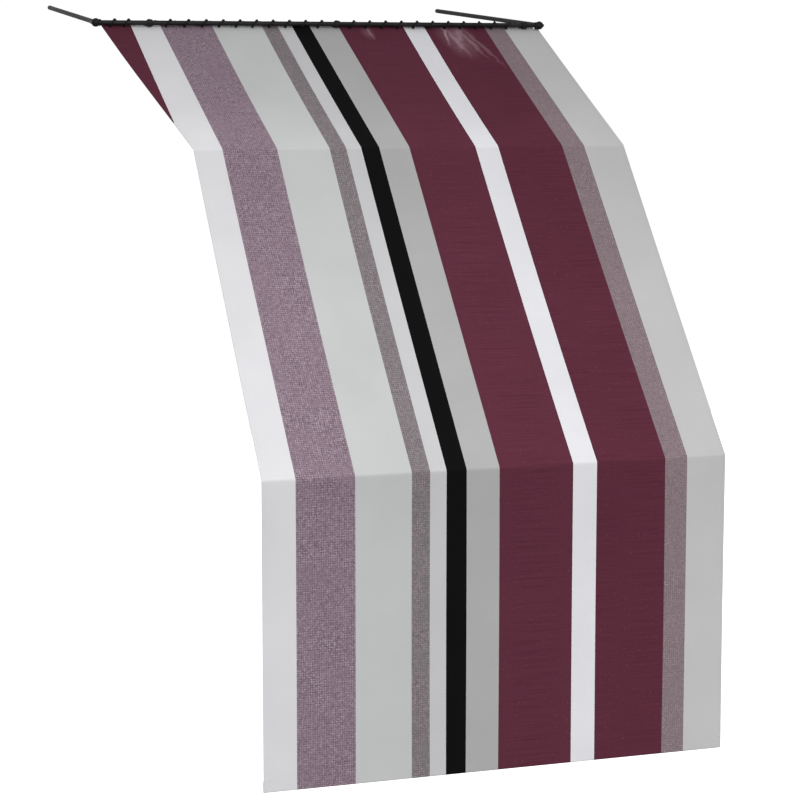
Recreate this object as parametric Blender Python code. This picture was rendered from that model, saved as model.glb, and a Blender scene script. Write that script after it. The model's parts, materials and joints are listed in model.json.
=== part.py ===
"""A fabric window awning on its own frame, without the wall.

A head bar hangs on two arms that run back to the wall. A cloth is laced to the
bar, falls forward in two slopes over a light rib frame, and ends in a straight
drop with a flat weight bar in its hem.

Metres, +Z up. The origin is on the wall plane (Y = 0), midway between the two
arms' wall ends. The awning projects toward -Y, and +X is to the right of a
viewer who faces the wall.
"""

from math import cos, exp, pi, radians, sin

import bmesh
import bpy
from mathutils import Matrix, Vector

# Running gap between two touching pieces
GAP = 0.0003

# Cloth
CLOTH_WIDTH = 1.120
CLOTH_THICKNESS = 0.001
HEAD_FLARE = 0.075
UPPER_SLOPE = radians(27.4)
UPPER_LENGTH = 0.6368
LOWER_SLOPE = radians(50.94)
LOWER_LENGTH = 0.9014
DROP_LENGTH = 0.6975
CLOTH_CLEARANCE = 0.0005

# Round steel tube of the main frame, and the thinner tube inside the folds
TUBE_DIAMETER = 0.012
TUBE_WALL = 0.0012
FOLD_TUBE_DIAMETER = 0.010
FOLD_TUBE_WALL = 0.0012
SPIGOT_LENGTH = 0.025
SPIGOT_PLAY = 0.0003

# Head bar and wall arms
LEFT_OVERHANG = 0.018
RIGHT_OVERHANG = 0.0
ARM_REACH = 0.702
ARM_RISE = 0.054
ARM_INSET = 0.030
PLUG_COLLAR = 0.008
ELBOW_RADIUS = 0.011
SOCKET_FLOOR = 0.0077
SCREW_RADIUS = 0.0022
SCREW_HEAD_RADIUS = 0.0038
SCREW_HEAD_HEIGHT = 0.0025
SCREW_GRIP = 0.006

# Lacing: one cord, its turns on the bar and the eyelets it passes
LACE_DIAMETER = 0.0045
LACE_CLEARANCE = 0.0007
FIRST_TURN_X = -0.0469
TURN_START_X = -0.0105
TURN_EASE = 0.0305
TURN_EASE_COUNT = 1.75
LEFT_CLAMP_TURN = 1
MIDDLE_CLAMP_TURN = 12
RIGHT_CLAMP_TURN = 24
RIGHT_CLAMP_INSET = 0.0440
EYELET_LEAD = 0.0225
EYELET_BORE = 0.0064
EYELET_BARREL = 0.0104
EYELET_FLANGE = 0.0130
EYELET_FLANGE_HEIGHT = 0.0008
EYELET_BACK = 0.016
HEM_BACK = 0.026
BAND_WIDTH = 0.016
BAND_THICKNESS = 0.0015
EDGE_MARGIN = 0.011
KNOT_RADIUS = 0.0042

# Clamps that carry the ribs on the head bar
CLAMP_RADIUS = 0.009
CLAMP_LENGTH = 0.014
RIB_SLEEVE_RADIUS = 0.008
RIB_SLEEVE_START = 0.037
RIB_SLEEVE_END = 0.006
RIB_SOCKET_FLOOR = 0.003
WEB_THICKNESS = 0.008
WEB_BACK = 0.019
NOTCH_HALF_WIDTH = 0.0105
NOTCH_DEPTH_END = 0.004
CLAMP_SCREW_TILT = radians(45)

# Fold pockets and the hem's weight bar
POCKET_WALL = 0.0008
POCKET_INSET = 0.020
HEM_BAR_HEIGHT = 0.020
HEM_BAR_THICKNESS = 0.003
HEM_BAR_INSET = 0.012
HEM_RETURN_EXTRA = 0.004

# Facets
TUBE_SIDES = 12
SMALL_SIDES = 10
FOLD_STEPS = 4
HEM_STEPS = 4

# Sizes that follow
TUBE_RADIUS = TUBE_DIAMETER / 2
TUBE_BORE = TUBE_RADIUS - TUBE_WALL
FOLD_RADIUS = FOLD_TUBE_DIAMETER / 2
FOLD_BORE = FOLD_RADIUS - FOLD_TUBE_WALL
LACE_RADIUS = LACE_DIAMETER / 2
HALF_CLOTH = CLOTH_THICKNESS / 2
WRAP_RADIUS = TUBE_RADIUS + GAP + LACE_RADIUS
HEAD_OFFSET = WRAP_RADIUS + LACE_RADIUS + LACE_CLEARANCE + HALF_CLOTH
RIB_OFFSET = TUBE_RADIUS + CLOTH_CLEARANCE + HALF_CLOTH
KNUCKLE_RADIUS = RIB_OFFSET - HALF_CLOTH - GAP
HEM_RADIUS = HEM_BAR_THICKNESS / 2 + GAP + HALF_CLOTH
BAR_LEFT = -HEAD_FLARE - LEFT_OVERHANG
BAR_RIGHT = CLOTH_WIDTH + RIGHT_OVERHANG
CENTRE_X = (BAR_LEFT + BAR_RIGHT) / 2


def slope_axes(angle):
    """Unit vectors down a slope and square to it, away from the cloth's face, as (forward, up)."""
    return Vector((cos(angle), -sin(angle))), Vector((-sin(angle), -cos(angle)))


UPPER_RUN, UPPER_UNDER = slope_axes(UPPER_SLOPE)
LOWER_RUN, LOWER_UNDER = slope_axes(LOWER_SLOPE)
DROP_RUN, DROP_UNDER = slope_axes(pi / 2)

HEAD_POINT = UPPER_UNDER * HEAD_OFFSET
FIRST_FOLD = HEAD_POINT + UPPER_RUN * UPPER_LENGTH
SECOND_FOLD = FIRST_FOLD + LOWER_RUN * LOWER_LENGTH


def fold_centre(apex, before, after):
    """The point that lies RIB_OFFSET under both of the slopes that meet at apex."""
    half = (before - after) / 2
    bisector = slope_axes((before + after) / 2)[1]
    return apex + bisector * (RIB_OFFSET / cos(half))


FIRST_CENTRE = fold_centre(FIRST_FOLD, UPPER_SLOPE, LOWER_SLOPE)
SECOND_CENTRE = fold_centre(SECOND_FOLD, LOWER_SLOPE, pi / 2)


def at(x, point):
    """World position of a side-view point (forward, up from the bar's axis) at x from the drop's left edge."""
    return Vector((x - CENTRE_X, -ARM_REACH - point[0], -ARM_RISE + point[1]))


def on_hem(x, run, under):
    """World position near the head: run along the upper slope, under square to it from the bar's axis."""
    return at(x, UPPER_RUN * run + UPPER_UNDER * under)


def turn_ease(index):
    """How far the wider spacing at the left end has pushed a turn along the bar."""
    return TURN_EASE * (1 - exp(-index / TURN_EASE_COUNT))


# The spacing brings the last turn's place to the right clamp
TURN_ROOM = CLOTH_WIDTH - RIGHT_CLAMP_INSET - TURN_START_X - turn_ease(RIGHT_CLAMP_TURN)
TURN_PITCH = TURN_ROOM / RIGHT_CLAMP_TURN


def turn_x(index):
    """Place of a lacing turn on the bar: even spacing, a little wider at the left end."""
    if index < 0:
        return FIRST_TURN_X
    return TURN_START_X + TURN_PITCH * index + turn_ease(index)


CLAMP_TURNS = {"left": LEFT_CLAMP_TURN, "middle": MIDDLE_CLAMP_TURN, "right": RIGHT_CLAMP_TURN}
CLAMP_X = {side: turn_x(turn) for side, turn in CLAMP_TURNS.items()}


# Materials

def material(name, colour, roughness, metallic=0.0):
    made = bpy.data.materials.new(name)
    made.use_nodes = True
    shader = made.node_tree.nodes["Principled BSDF"]
    shader.inputs["Base Color"].default_value = (*colour, 1)
    shader.inputs["Roughness"].default_value = roughness
    shader.inputs["Metallic"].default_value = metallic
    return made


for leftover in list(bpy.data.objects):
    bpy.data.objects.remove(leftover)

BLACK_PAINT = material("black_paint", (0.018, 0.018, 0.017), 0.45)
BLACK_CLAMP = material("black_clamp", (0.024, 0.023, 0.022), 0.5)
SCREW_STEEL = material("screw_steel", (0.06, 0.06, 0.06), 0.35, 1.0)
PLUG_PLASTIC = material("plug_plastic", (0.02, 0.02, 0.02), 0.6)
STRIPED_CLOTH = material("striped_cloth", (0.52, 0.49, 0.52), 0.9)
HEM_BAND = material("hem_band", (0.35, 0.34, 0.36), 0.85)
LACE_CORD = material("lace_cord", (0.02, 0.02, 0.02), 0.8)
ZINC_BAR = material("zinc_bar", (0.45, 0.45, 0.46), 0.4, 1.0)


# Shape helpers

def new_object(name, bm, surface, matrix=None):
    bmesh.ops.recalc_face_normals(bm, faces=bm.faces)
    mesh = bpy.data.meshes.new(name)
    bm.to_mesh(mesh)
    bm.free()
    mesh.shade_smooth()
    mesh.set_sharp_from_angle(angle=radians(35))
    mesh.materials.append(surface)
    obj = bpy.data.objects.new(name, mesh)
    bpy.context.scene.collection.objects.link(obj)
    if matrix is not None:
        obj.matrix_world = matrix
    return obj


def frame_along(start, direction):
    """Matrix that stands +Z along direction at start."""
    return Matrix.Translation(start) @ direction.to_track_quat("Z", "Y").to_matrix().to_4x4()


def spin(bm, profile, sides, matrix=None):
    """Turn a profile of (radius, height) round Z. It is closed unless it starts and ends on the axis."""
    piece = bmesh.new()
    points = [piece.verts.new((radius, 0, height)) for radius, height in profile]
    pairs = list(zip(points, points[1:]))
    if profile[0][0] > 0:
        pairs.append((points[-1], points[0]))
    edges = [piece.edges.new(pair) for pair in pairs]
    bmesh.ops.spin(piece, geom=points + edges, cent=(0, 0, 0), axis=(0, 0, 1),
                   angle=2 * pi, steps=sides, use_merge=True)
    bmesh.ops.remove_doubles(piece, verts=piece.verts, dist=1e-6)
    if matrix is not None:
        bmesh.ops.transform(piece, matrix=matrix, verts=piece.verts)
    turned = bpy.data.meshes.new("turned")
    piece.to_mesh(turned)
    piece.free()
    bm.from_mesh(turned)
    bpy.data.meshes.remove(turned)


def rod_profile(radius, low, high):
    return [(0, low), (radius, low), (radius, high), (0, high)]


def tube_profile(outer, inner, low, high):
    return [(inner, low), (outer, low), (outer, high), (inner, high)]


def ball_profile(radius, steps=8):
    angles = [pi * (i / steps - 0.5) for i in range(steps + 1)]
    return [(0 if i in (0, steps) else radius * cos(a), radius * sin(a)) for i, a in enumerate(angles)]


def turned(name, profile, surface, start, direction, sides=TUBE_SIDES):
    bm = bmesh.new()
    spin(bm, profile, sides)
    return new_object(name, bm, surface, frame_along(start, direction))


def tube(name, start, end, radius, bore, surface):
    length = (end - start).length
    return turned(name, tube_profile(radius, bore, 0, length), surface, start, end - start)


def box_between(bm, low, high, matrix=None):
    """A box from its low corner to its high corner."""
    middle = (Vector(low) + Vector(high)) / 2
    size = Vector(high) - Vector(low)
    placed = Matrix.Translation(middle) @ Matrix.Diagonal((*size, 1))
    bmesh.ops.create_cube(bm, size=1, matrix=placed if matrix is None else matrix @ placed)


def combine(obj, tool, operation):
    """A Boolean with a helper object, which stays out of the model."""
    tool.hide_render = True
    tool.display_type = "WIRE"
    step = obj.modifiers.new(tool.name, "BOOLEAN")
    step.operation = operation
    step.object = tool
    step.solver = "EXACT"


def fuse_rod(obj, name, start, end, radius, sides=SMALL_SIDES):
    rod = turned(name, rod_profile(radius, 0, (end - start).length), BLACK_PAINT, start, end - start, sides)
    combine(obj, rod, "UNION")


def drill(obj, name, start, end, radius, sides=TUBE_SIDES):
    rod = turned(name, rod_profile(radius, 0, (end - start).length), BLACK_PAINT, start, end - start, sides)
    combine(obj, rod, "DIFFERENCE")


X_AXIS = Vector((1, 0, 0))
SPIGOT_RADIUS = TUBE_BORE - SPIGOT_PLAY
FOLD_SPIGOT_RADIUS = FOLD_BORE - SPIGOT_PLAY


# Head bar, wall arms and their elbows

TUBE_SEAT = SOCKET_FLOOR + GAP
bar_ends = {"left": at(BAR_LEFT, (0, 0)), "right": at(BAR_RIGHT, (0, 0))}
inward = {"left": X_AXIS, "right": -X_AXIS}

tube("head_bar", bar_ends["left"] + X_AXIS * TUBE_SEAT, bar_ends["right"] - X_AXIS * TUBE_SEAT,
     TUBE_RADIUS, TUBE_BORE, BLACK_PAINT)

for side, corner in bar_ends.items():
    wall_point = Vector((corner.x + inward[side].x * ARM_INSET, 0, 0))
    to_wall = (wall_point - corner).normalized()
    reach = (wall_point - corner).length

    tube(f"wall_arm_{side}", corner + to_wall * TUBE_SEAT, corner + to_wall * (reach - PLUG_COLLAR - GAP),
         TUBE_RADIUS, TUBE_BORE, BLACK_PAINT)

    elbow = turned(f"corner_elbow_{side}", ball_profile(ELBOW_RADIUS), BLACK_CLAMP, corner, -inward[side], 16)
    for name, direction in (("bar", inward[side]), ("arm", to_wall)):
        drill(elbow, f"{side}_{name}_socket", corner + direction * SOCKET_FLOOR,
              corner + direction * ELBOW_RADIUS * 2, TUBE_RADIUS + GAP)
    for name, direction in (("bar", inward[side]), ("arm", to_wall)):
        fuse_rod(elbow, f"{side}_{name}_spigot", corner, corner + direction * (SOCKET_FLOOR + SPIGOT_LENGTH),
                 SPIGOT_RADIUS)
    drill(elbow, f"{side}_elbow_screw_hole", corner - inward[side] * (ELBOW_RADIUS - SCREW_GRIP - GAP),
          corner - inward[side] * ELBOW_RADIUS * 2, SCREW_RADIUS + GAP, SMALL_SIDES)
    turned(f"elbow_screw_{side}",
           [(0, -SCREW_GRIP), (SCREW_RADIUS, -SCREW_GRIP), (SCREW_RADIUS, GAP), (SCREW_HEAD_RADIUS, GAP),
            (SCREW_HEAD_RADIUS, SCREW_HEAD_HEIGHT / 2), (SCREW_HEAD_RADIUS * 0.7, SCREW_HEAD_HEIGHT),
            (0, SCREW_HEAD_HEIGHT)],
           SCREW_STEEL, corner - inward[side] * ELBOW_RADIUS, -inward[side], SMALL_SIDES)

    plug = turned(f"arm_end_plug_{side}", rod_profile(TUBE_RADIUS, -PLUG_COLLAR, PLUG_COLLAR),
                  PLUG_PLASTIC, wall_point, to_wall)
    fuse_rod(plug, f"{side}_plug_stub", wall_point - to_wall * (PLUG_COLLAR + SPIGOT_LENGTH), wall_point,
             SPIGOT_RADIUS)
    bm = bmesh.new()
    box_between(bm, wall_point + Vector((-0.05, 0, -0.05)), wall_point + Vector((0.05, 0.05, 0.05)))
    combine(plug, new_object(f"{side}_wall_cut", bm, PLUG_PLASTIC), "DIFFERENCE")


# Ribs: knuckles at the folds, tubes between them

TUBE_START = KNUCKLE_RADIUS + GAP
rib_head = UPPER_RUN * -(RIB_SLEEVE_START - RIB_SOCKET_FLOOR - GAP) + UPPER_UNDER * (HEAD_OFFSET + RIB_OFFSET)

for side, x in CLAMP_X.items():
    tube(f"upper_rib_{side}", at(x, rib_head), at(x, FIRST_CENTRE - UPPER_RUN * TUBE_START),
         TUBE_RADIUS, TUBE_BORE, BLACK_PAINT)
    tube(f"lower_rib_{side}", at(x, FIRST_CENTRE + LOWER_RUN * TUBE_START),
         at(x, SECOND_CENTRE - LOWER_RUN * TUBE_START), TUBE_RADIUS, TUBE_BORE, BLACK_PAINT)
    left_reach = 0 if side == "left" else TUBE_START + SPIGOT_LENGTH
    right_reach = 0 if side == "right" else TUBE_START + SPIGOT_LENGTH
    for fold, centre, runs in (("first", FIRST_CENTRE, (-UPPER_RUN, LOWER_RUN)),
                               ("second", SECOND_CENTRE, (-LOWER_RUN,))):
        knuckle = turned(f"{fold}_knuckle_{side}", ball_profile(KNUCKLE_RADIUS, 6), BLACK_CLAMP,
                         at(x, centre), X_AXIS, TUBE_SIDES)
        fuse_rod(knuckle, f"{fold}_{side}_cross_spigot", at(x - left_reach, centre),
                 at(x + right_reach, centre), FOLD_SPIGOT_RADIUS, 8)
        for i, run in enumerate(runs):
            fuse_rod(knuckle, f"{fold}_{side}_rib_spigot_{i}", at(x, centre),
                     at(x, centre + run * (TUBE_START + SPIGOT_LENGTH)), SPIGOT_RADIUS, 8)

for bay, (low, high) in {"left": ("left", "middle"), "right": ("middle", "right")}.items():
    for fold, centre in (("first", FIRST_CENTRE), ("second", SECOND_CENTRE)):
        start, end = CLAMP_X[low], CLAMP_X[high]
        tube(f"{fold}_fold_bar_{bay}", at(start + TUBE_START, centre), at(end - TUBE_START, centre),
             FOLD_RADIUS, FOLD_BORE, BLACK_PAINT)
        tube(f"{fold}_fold_pocket_{bay}", at(start + POCKET_INSET, centre), at(end - POCKET_INSET, centre),
             FOLD_RADIUS + GAP + POCKET_WALL, FOLD_RADIUS + GAP, STRIPED_CLOTH)


# Clamps: a sleeve on the head bar, a web behind the cloth's edge and a socket for the rib

screw_way = Vector((-cos(CLAMP_SCREW_TILT), sin(CLAMP_SCREW_TILT)))

for side, x in CLAMP_X.items():
    clamp = turned(f"head_clamp_{side}", rod_profile(CLAMP_RADIUS, 0, CLAMP_LENGTH), BLACK_CLAMP,
                   at(x - CLAMP_LENGTH / 2, (0, 0)), X_AXIS, 16)
    bm = bmesh.new()
    slope_matrix = Matrix.Translation(at(x, (0, 0))) @ Matrix((
        (1, 0, 0, 0),
        (0, -UPPER_RUN[0], -UPPER_UNDER[0], 0),
        (0, UPPER_RUN[1], UPPER_UNDER[1], 0),
        (0, 0, 0, 1),
    ))
    box_between(bm, (-WEB_THICKNESS / 2, -WEB_BACK, TUBE_RADIUS / 3),
                (WEB_THICKNESS / 2, -TUBE_RADIUS - CLOTH_CLEARANCE, HEAD_OFFSET + RIB_OFFSET), slope_matrix)
    combine(clamp, new_object(f"{side}_web", bm, BLACK_CLAMP), "UNION")
    fuse_rod(clamp, f"{side}_rib_sleeve", on_hem(x, -RIB_SLEEVE_START, HEAD_OFFSET + RIB_OFFSET),
             on_hem(x, -RIB_SLEEVE_END, HEAD_OFFSET + RIB_OFFSET), RIB_SLEEVE_RADIUS, 16)
    drill(clamp, f"{side}_bar_bore", at(x - CLAMP_LENGTH, (0, 0)), at(x + CLAMP_LENGTH, (0, 0)),
          TUBE_RADIUS + GAP)
    drill(clamp, f"{side}_rib_bore",
          on_hem(x, -(RIB_SLEEVE_START - RIB_SOCKET_FLOOR), HEAD_OFFSET + RIB_OFFSET),
          on_hem(x, 0, HEAD_OFFSET + RIB_OFFSET), TUBE_RADIUS + GAP)
    drill(clamp, f"{side}_screw_bore", at(x, (0, 0)), at(x, screw_way * CLAMP_RADIUS * 2),
          SCREW_RADIUS + GAP, SMALL_SIDES)
    head = CLAMP_RADIUS + GAP
    turned(f"clamp_screw_{side}",
           [(0, TUBE_RADIUS + GAP), (SCREW_RADIUS, TUBE_RADIUS + GAP), (SCREW_RADIUS, head),
            (SCREW_HEAD_RADIUS, head), (SCREW_HEAD_RADIUS, head + SCREW_HEAD_HEIGHT / 2),
            (SCREW_HEAD_RADIUS * 0.7, head + SCREW_HEAD_HEIGHT), (0, head + SCREW_HEAD_HEIGHT)],
           SCREW_STEEL, at(x, (0, 0)), at(x, screw_way) - at(x, (0, 0)), SMALL_SIDES)


# Eyelets: where each stands on the hem, and the turns that start from them

def eyelet_x(index):
    """An eyelet stands a little before its turn, clear of the cloth's edge and of the clamp notches."""
    x = max(turn_x(index) - EYELET_LEAD, -HEAD_FLARE + EDGE_MARGIN)
    for clamp_x in CLAMP_X.values():
        keep = NOTCH_HALF_WIDTH + EYELET_FLANGE / 2 + GAP * 10
        if abs(x - clamp_x) < keep:
            x = clamp_x + keep
    return x


turns = [index for index in range(-1, RIGHT_CLAMP_TURN) if index not in CLAMP_TURNS.values()]
last_eyelet_x = CLAMP_X["right"] - NOTCH_HALF_WIDTH - EDGE_MARGIN
eyelets = [eyelet_x(index) for index in turns] + [last_eyelet_x]


# Cloth: one sheet from the laced hem to the weight bar's hem

def arc(centre, radius, start, end, steps):
    """Side-view points of an arc; an angle is the slope of the cloth where it touches the arc."""
    for i in range(steps + 1):
        yield centre - slope_axes(start + (end - start) * i / steps)[1] * radius


hem_centre = Vector((SECOND_FOLD[0] - HEM_RADIUS, SECOND_FOLD[1] - DROP_LENGTH + HEM_RADIUS + HALF_CLOTH))
profile = [HEAD_POINT - UPPER_RUN * HEM_BACK, HEAD_POINT]
profile += arc(FIRST_CENTRE, RIB_OFFSET, UPPER_SLOPE, LOWER_SLOPE, FOLD_STEPS)
profile += arc(SECOND_CENTRE, RIB_OFFSET, LOWER_SLOPE, pi / 2, FOLD_STEPS)
profile += arc(hem_centre, HEM_RADIUS, pi / 2, 3 * pi / 2, HEM_STEPS)
profile.append(hem_centre + Vector((-HEM_RADIUS, HEM_BAR_HEIGHT + HEM_RETURN_EXTRA)))


def left_edge(point):
    """The cloth's left edge leaves the straight stripe line above the first fold."""
    run = (point - HEAD_POINT).dot(UPPER_RUN)
    return -HEAD_FLARE * max(0.0, 1 - run / UPPER_LENGTH)


bm = bmesh.new()
rows = [(bm.verts.new(at(left_edge(p), p)), bm.verts.new(at(CLOTH_WIDTH, p))) for p in profile]
for (a, b), (c, d) in zip(rows, rows[1:]):
    bm.faces.new((a, b, d, c))
cloth = new_object("cloth", bm, STRIPED_CLOTH)
skin = cloth.modifiers.new("thickness", "SOLIDIFY")
skin.thickness = CLOTH_THICKNESS
skin.offset = 0
skin.use_even_offset = True

NOTCH_DEEP = HEAD_OFFSET - RIB_OFFSET
NOTCH_LOW = HEAD_OFFSET + RIB_OFFSET
bm = bmesh.new()
notches = [(CLAMP_X["left"] - NOTCH_HALF_WIDTH, CLAMP_X["left"] + NOTCH_HALF_WIDTH),
           (CLAMP_X["middle"] - NOTCH_HALF_WIDTH, CLAMP_X["middle"] + NOTCH_HALF_WIDTH),
           (CLAMP_X["right"] - NOTCH_HALF_WIDTH, CLOTH_WIDTH + NOTCH_HALF_WIDTH)]
for low, high in notches:
    frame = Matrix.Translation(at(0, (0, 0))) @ Matrix((
        (1, 0, 0, 0),
        (0, -UPPER_RUN[0], -UPPER_UNDER[0], 0),
        (0, UPPER_RUN[1], UPPER_UNDER[1], 0),
        (0, 0, 0, 1),
    ))
    box_between(bm, (low, -HEM_BACK - NOTCH_HALF_WIDTH, NOTCH_DEEP),
                (high, -NOTCH_DEPTH_END, NOTCH_LOW), frame)
combine(cloth, new_object("hem_notches", bm, STRIPED_CLOTH), "DIFFERENCE")

up_slope = on_hem(0, 0, 0) - on_hem(0, 0, 1)
bm = bmesh.new()
for x in eyelets:
    spin(bm, rod_profile(EYELET_BARREL / 2 + GAP, -HALF_CLOTH * 4, HALF_CLOTH * 4), SMALL_SIDES,
         frame_along(on_hem(x, -EYELET_BACK, HEAD_OFFSET), up_slope))
combine(cloth, new_object("cloth_holes", bm, STRIPED_CLOTH), "DIFFERENCE")


# Reinforcing band under the hem, with the eyelets set through the cloth

band_top = HALF_CLOTH + GAP
bands = {"left": (-HEAD_FLARE + GAP * 3, notches[0][0] - GAP * 3),
         "middle": (notches[0][1] + GAP * 3, notches[1][0] - GAP * 3),
         "right": (notches[1][1] + GAP * 3, notches[2][0] - GAP * 3)}
for name, (low, high) in bands.items():
    bm = bmesh.new()
    frame = Matrix.Translation(at(0, HEAD_POINT)) @ Matrix((
        (1, 0, 0, 0),
        (0, -UPPER_RUN[0], -UPPER_UNDER[0], 0),
        (0, UPPER_RUN[1], UPPER_UNDER[1], 0),
        (0, 0, 0, 1),
    ))
    box_between(bm, (low, -EYELET_BACK - BAND_WIDTH / 2, band_top),
                (high, -EYELET_BACK + BAND_WIDTH / 2, band_top + BAND_THICKNESS), frame)
    band = new_object(f"eyelet_band_{name}", bm, HEM_BAND)
    rings, bores = bmesh.new(), bmesh.new()
    for x in eyelets:
        if not low < x < high:
            continue
        place = frame_along(on_hem(x, -EYELET_BACK, HEAD_OFFSET), up_slope)
        spin(rings, [(0, -band_top - BAND_THICKNESS / 2), (EYELET_BARREL / 2, -band_top - BAND_THICKNESS / 2),
                     (EYELET_BARREL / 2, band_top), (EYELET_FLANGE / 2, band_top),
                     (EYELET_FLANGE / 2, band_top + EYELET_FLANGE_HEIGHT),
                     (0, band_top + EYELET_FLANGE_HEIGHT)], SMALL_SIDES, place)
        spin(bores, rod_profile(EYELET_BORE / 2, -BAND_WIDTH / 2, BAND_WIDTH / 2), SMALL_SIDES, place)
    combine(band, new_object(f"{name}_rings", rings, HEM_BAND), "UNION")
    combine(band, new_object(f"{name}_bores", bores, HEM_BAND), "DIFFERENCE")


# Weight bar in the bottom hem

bm = bmesh.new()
low = at(HEM_BAR_INSET, hem_centre + Vector((HEM_BAR_THICKNESS / 2, 0)))
high = at(CLOTH_WIDTH - HEM_BAR_INSET, hem_centre + Vector((-HEM_BAR_THICKNESS / 2, HEM_BAR_HEIGHT)))
box_between(bm, low, high)
new_object("hem_weight_bar", bm, ZINC_BAR)


# Lacing cord: up through an eyelet, under the bar, round it, back and round the hem's edge

UNDER_BAND = HEAD_OFFSET + band_top + BAND_THICKNESS + GAP * 2 + LACE_RADIUS
BEHIND_HEM = HEM_BACK + GAP * 3 + LACE_RADIUS
FLANGE_TOP = HEAD_OFFSET - band_top - EYELET_FLANGE_HEIGHT
BAR_LAPS = 280
BAR_STEPS = 8
LAP_START = -8
LAP_RADIUS = WRAP_RADIUS / cos(radians(BAR_LAPS / BAR_STEPS / 2))


def turn_points(x, leave_x, next_x, clamp_x):
    """Route of one turn from the eyelet at x to the one at next_x, past a clamp if there is one."""
    yield on_hem(x, -EYELET_BACK, HEAD_OFFSET - 0.0012)
    yield on_hem(x + 0.0006, -EYELET_BACK + 0.0011, FLANGE_TOP - 0.0020)
    yield on_hem(x + 0.0022, -EYELET_BACK + 0.0034, FLANGE_TOP - LACE_RADIUS - 0.0010)
    for i in range(BAR_STEPS + 1):
        share = i / BAR_STEPS
        angle = radians(LAP_START + BAR_LAPS * share)
        across = x + 0.0045 + (leave_x - x - 0.0045) * share
        yield on_hem(across, LAP_RADIUS * sin(angle), LAP_RADIUS * cos(angle))
    if clamp_x is not None:
        for side in (-1, 1):
            yield on_hem(clamp_x + side * (WEB_THICKNESS / 2 + LACE_DIAMETER), -WEB_BACK - 0.004,
                         HEAD_OFFSET - 0.0041)
        before = next_x - 0.004
    else:
        before = leave_x + (next_x - leave_x) * 0.55
        yield on_hem(before, -HEM_BACK + 0.0065, HEAD_OFFSET - 0.0066)
        before = leave_x + (next_x - leave_x) * 0.85
    yield on_hem(before, -BEHIND_HEM + 0.0018, HEAD_OFFSET - 0.0034)
    yield on_hem(next_x - 0.001, -BEHIND_HEM - 0.0002, HEAD_OFFSET)
    yield on_hem(next_x, -BEHIND_HEM + 0.0012, HEAD_OFFSET + 0.0034)
    yield on_hem(next_x, -BEHIND_HEM + 0.0044, UNDER_BAND)
    yield on_hem(next_x, -EYELET_BACK - 0.0030, UNDER_BAND)
    yield on_hem(next_x, -EYELET_BACK - 0.0009, UNDER_BAND - 0.0008)
    yield on_hem(next_x, -EYELET_BACK, UNDER_BAND - 0.0026)


KNOT_REACH = KNOT_RADIUS * 0.85
lead_in = HEAD_OFFSET + band_top + BAND_THICKNESS + KNOT_REACH
points = [on_hem(eyelets[0], -EYELET_BACK, lead_in)]
for turn, x, next_x in zip(turns, eyelets, eyelets[1:]):
    leave_x = turn_x(turn) + 0.008
    passed = [c for c in CLAMP_X.values() if leave_x < c < next_x]
    points += turn_points(x, leave_x, next_x, passed[0] if passed else None)
lead_out = FLANGE_TOP - KNOT_REACH
points.append(on_hem(eyelets[-1], -EYELET_BACK, HEAD_OFFSET - 0.0010))
points.append(on_hem(eyelets[-1], -EYELET_BACK, lead_out))

curve = bpy.data.curves.new("lacing_cord", "CURVE")
curve.dimensions = "3D"
curve.bevel_depth = LACE_RADIUS
curve.bevel_resolution = 1
curve.use_fill_caps = True
spline = curve.splines.new("POLY")
spline.points.add(len(points) - 1)
for knot, point in zip(spline.points, points):
    knot.co = (*point, 1)
curve.materials.append(LACE_CORD)
cord = bpy.data.objects.new("lacing_cord", curve)
bpy.context.scene.collection.objects.link(cord)

# A knot holds each end of the cord: a ball with the cord's end sunk into it
for name, x, under, way in (("left", eyelets[0], lead_in, -up_slope), ("right", eyelets[-1], lead_out, up_slope)):
    cup = [(0, KNOT_RADIUS * 0.3), (LACE_RADIUS + GAP, KNOT_RADIUS * 0.3),
           (LACE_RADIUS + GAP, -KNOT_RADIUS * 0.55), (KNOT_RADIUS * 0.8, -KNOT_RADIUS * 0.55),
           (KNOT_RADIUS, 0), (KNOT_RADIUS, KNOT_RADIUS * 0.5), (KNOT_RADIUS * 0.6, KNOT_RADIUS), (0, KNOT_RADIUS)]
    seat = on_hem(x, -EYELET_BACK, under) - way.normalized() * (KNOT_RADIUS * 0.3 - GAP)
    turned(f"lacing_knot_{name}", cup, LACE_CORD, seat, way, SMALL_SIDES)
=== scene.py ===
# %% [markdown]
# # A striped window awning, dressed around its frame
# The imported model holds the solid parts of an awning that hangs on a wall: a black
# head bar on two arms, six ribs, and a cloth that falls over them in two slopes and
# a straight drop. This lesson replaces those plain solids with detailed pieces that
# sit in the same places, and gives each a procedural finish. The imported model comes
# first, because every piece is placed from its sizes.

import json
from bisect import bisect_right
from math import atan2, cos, exp, hypot, pi, radians, sin, tan

import bmesh
import bpy
from mathutils import Matrix, Vector

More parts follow.
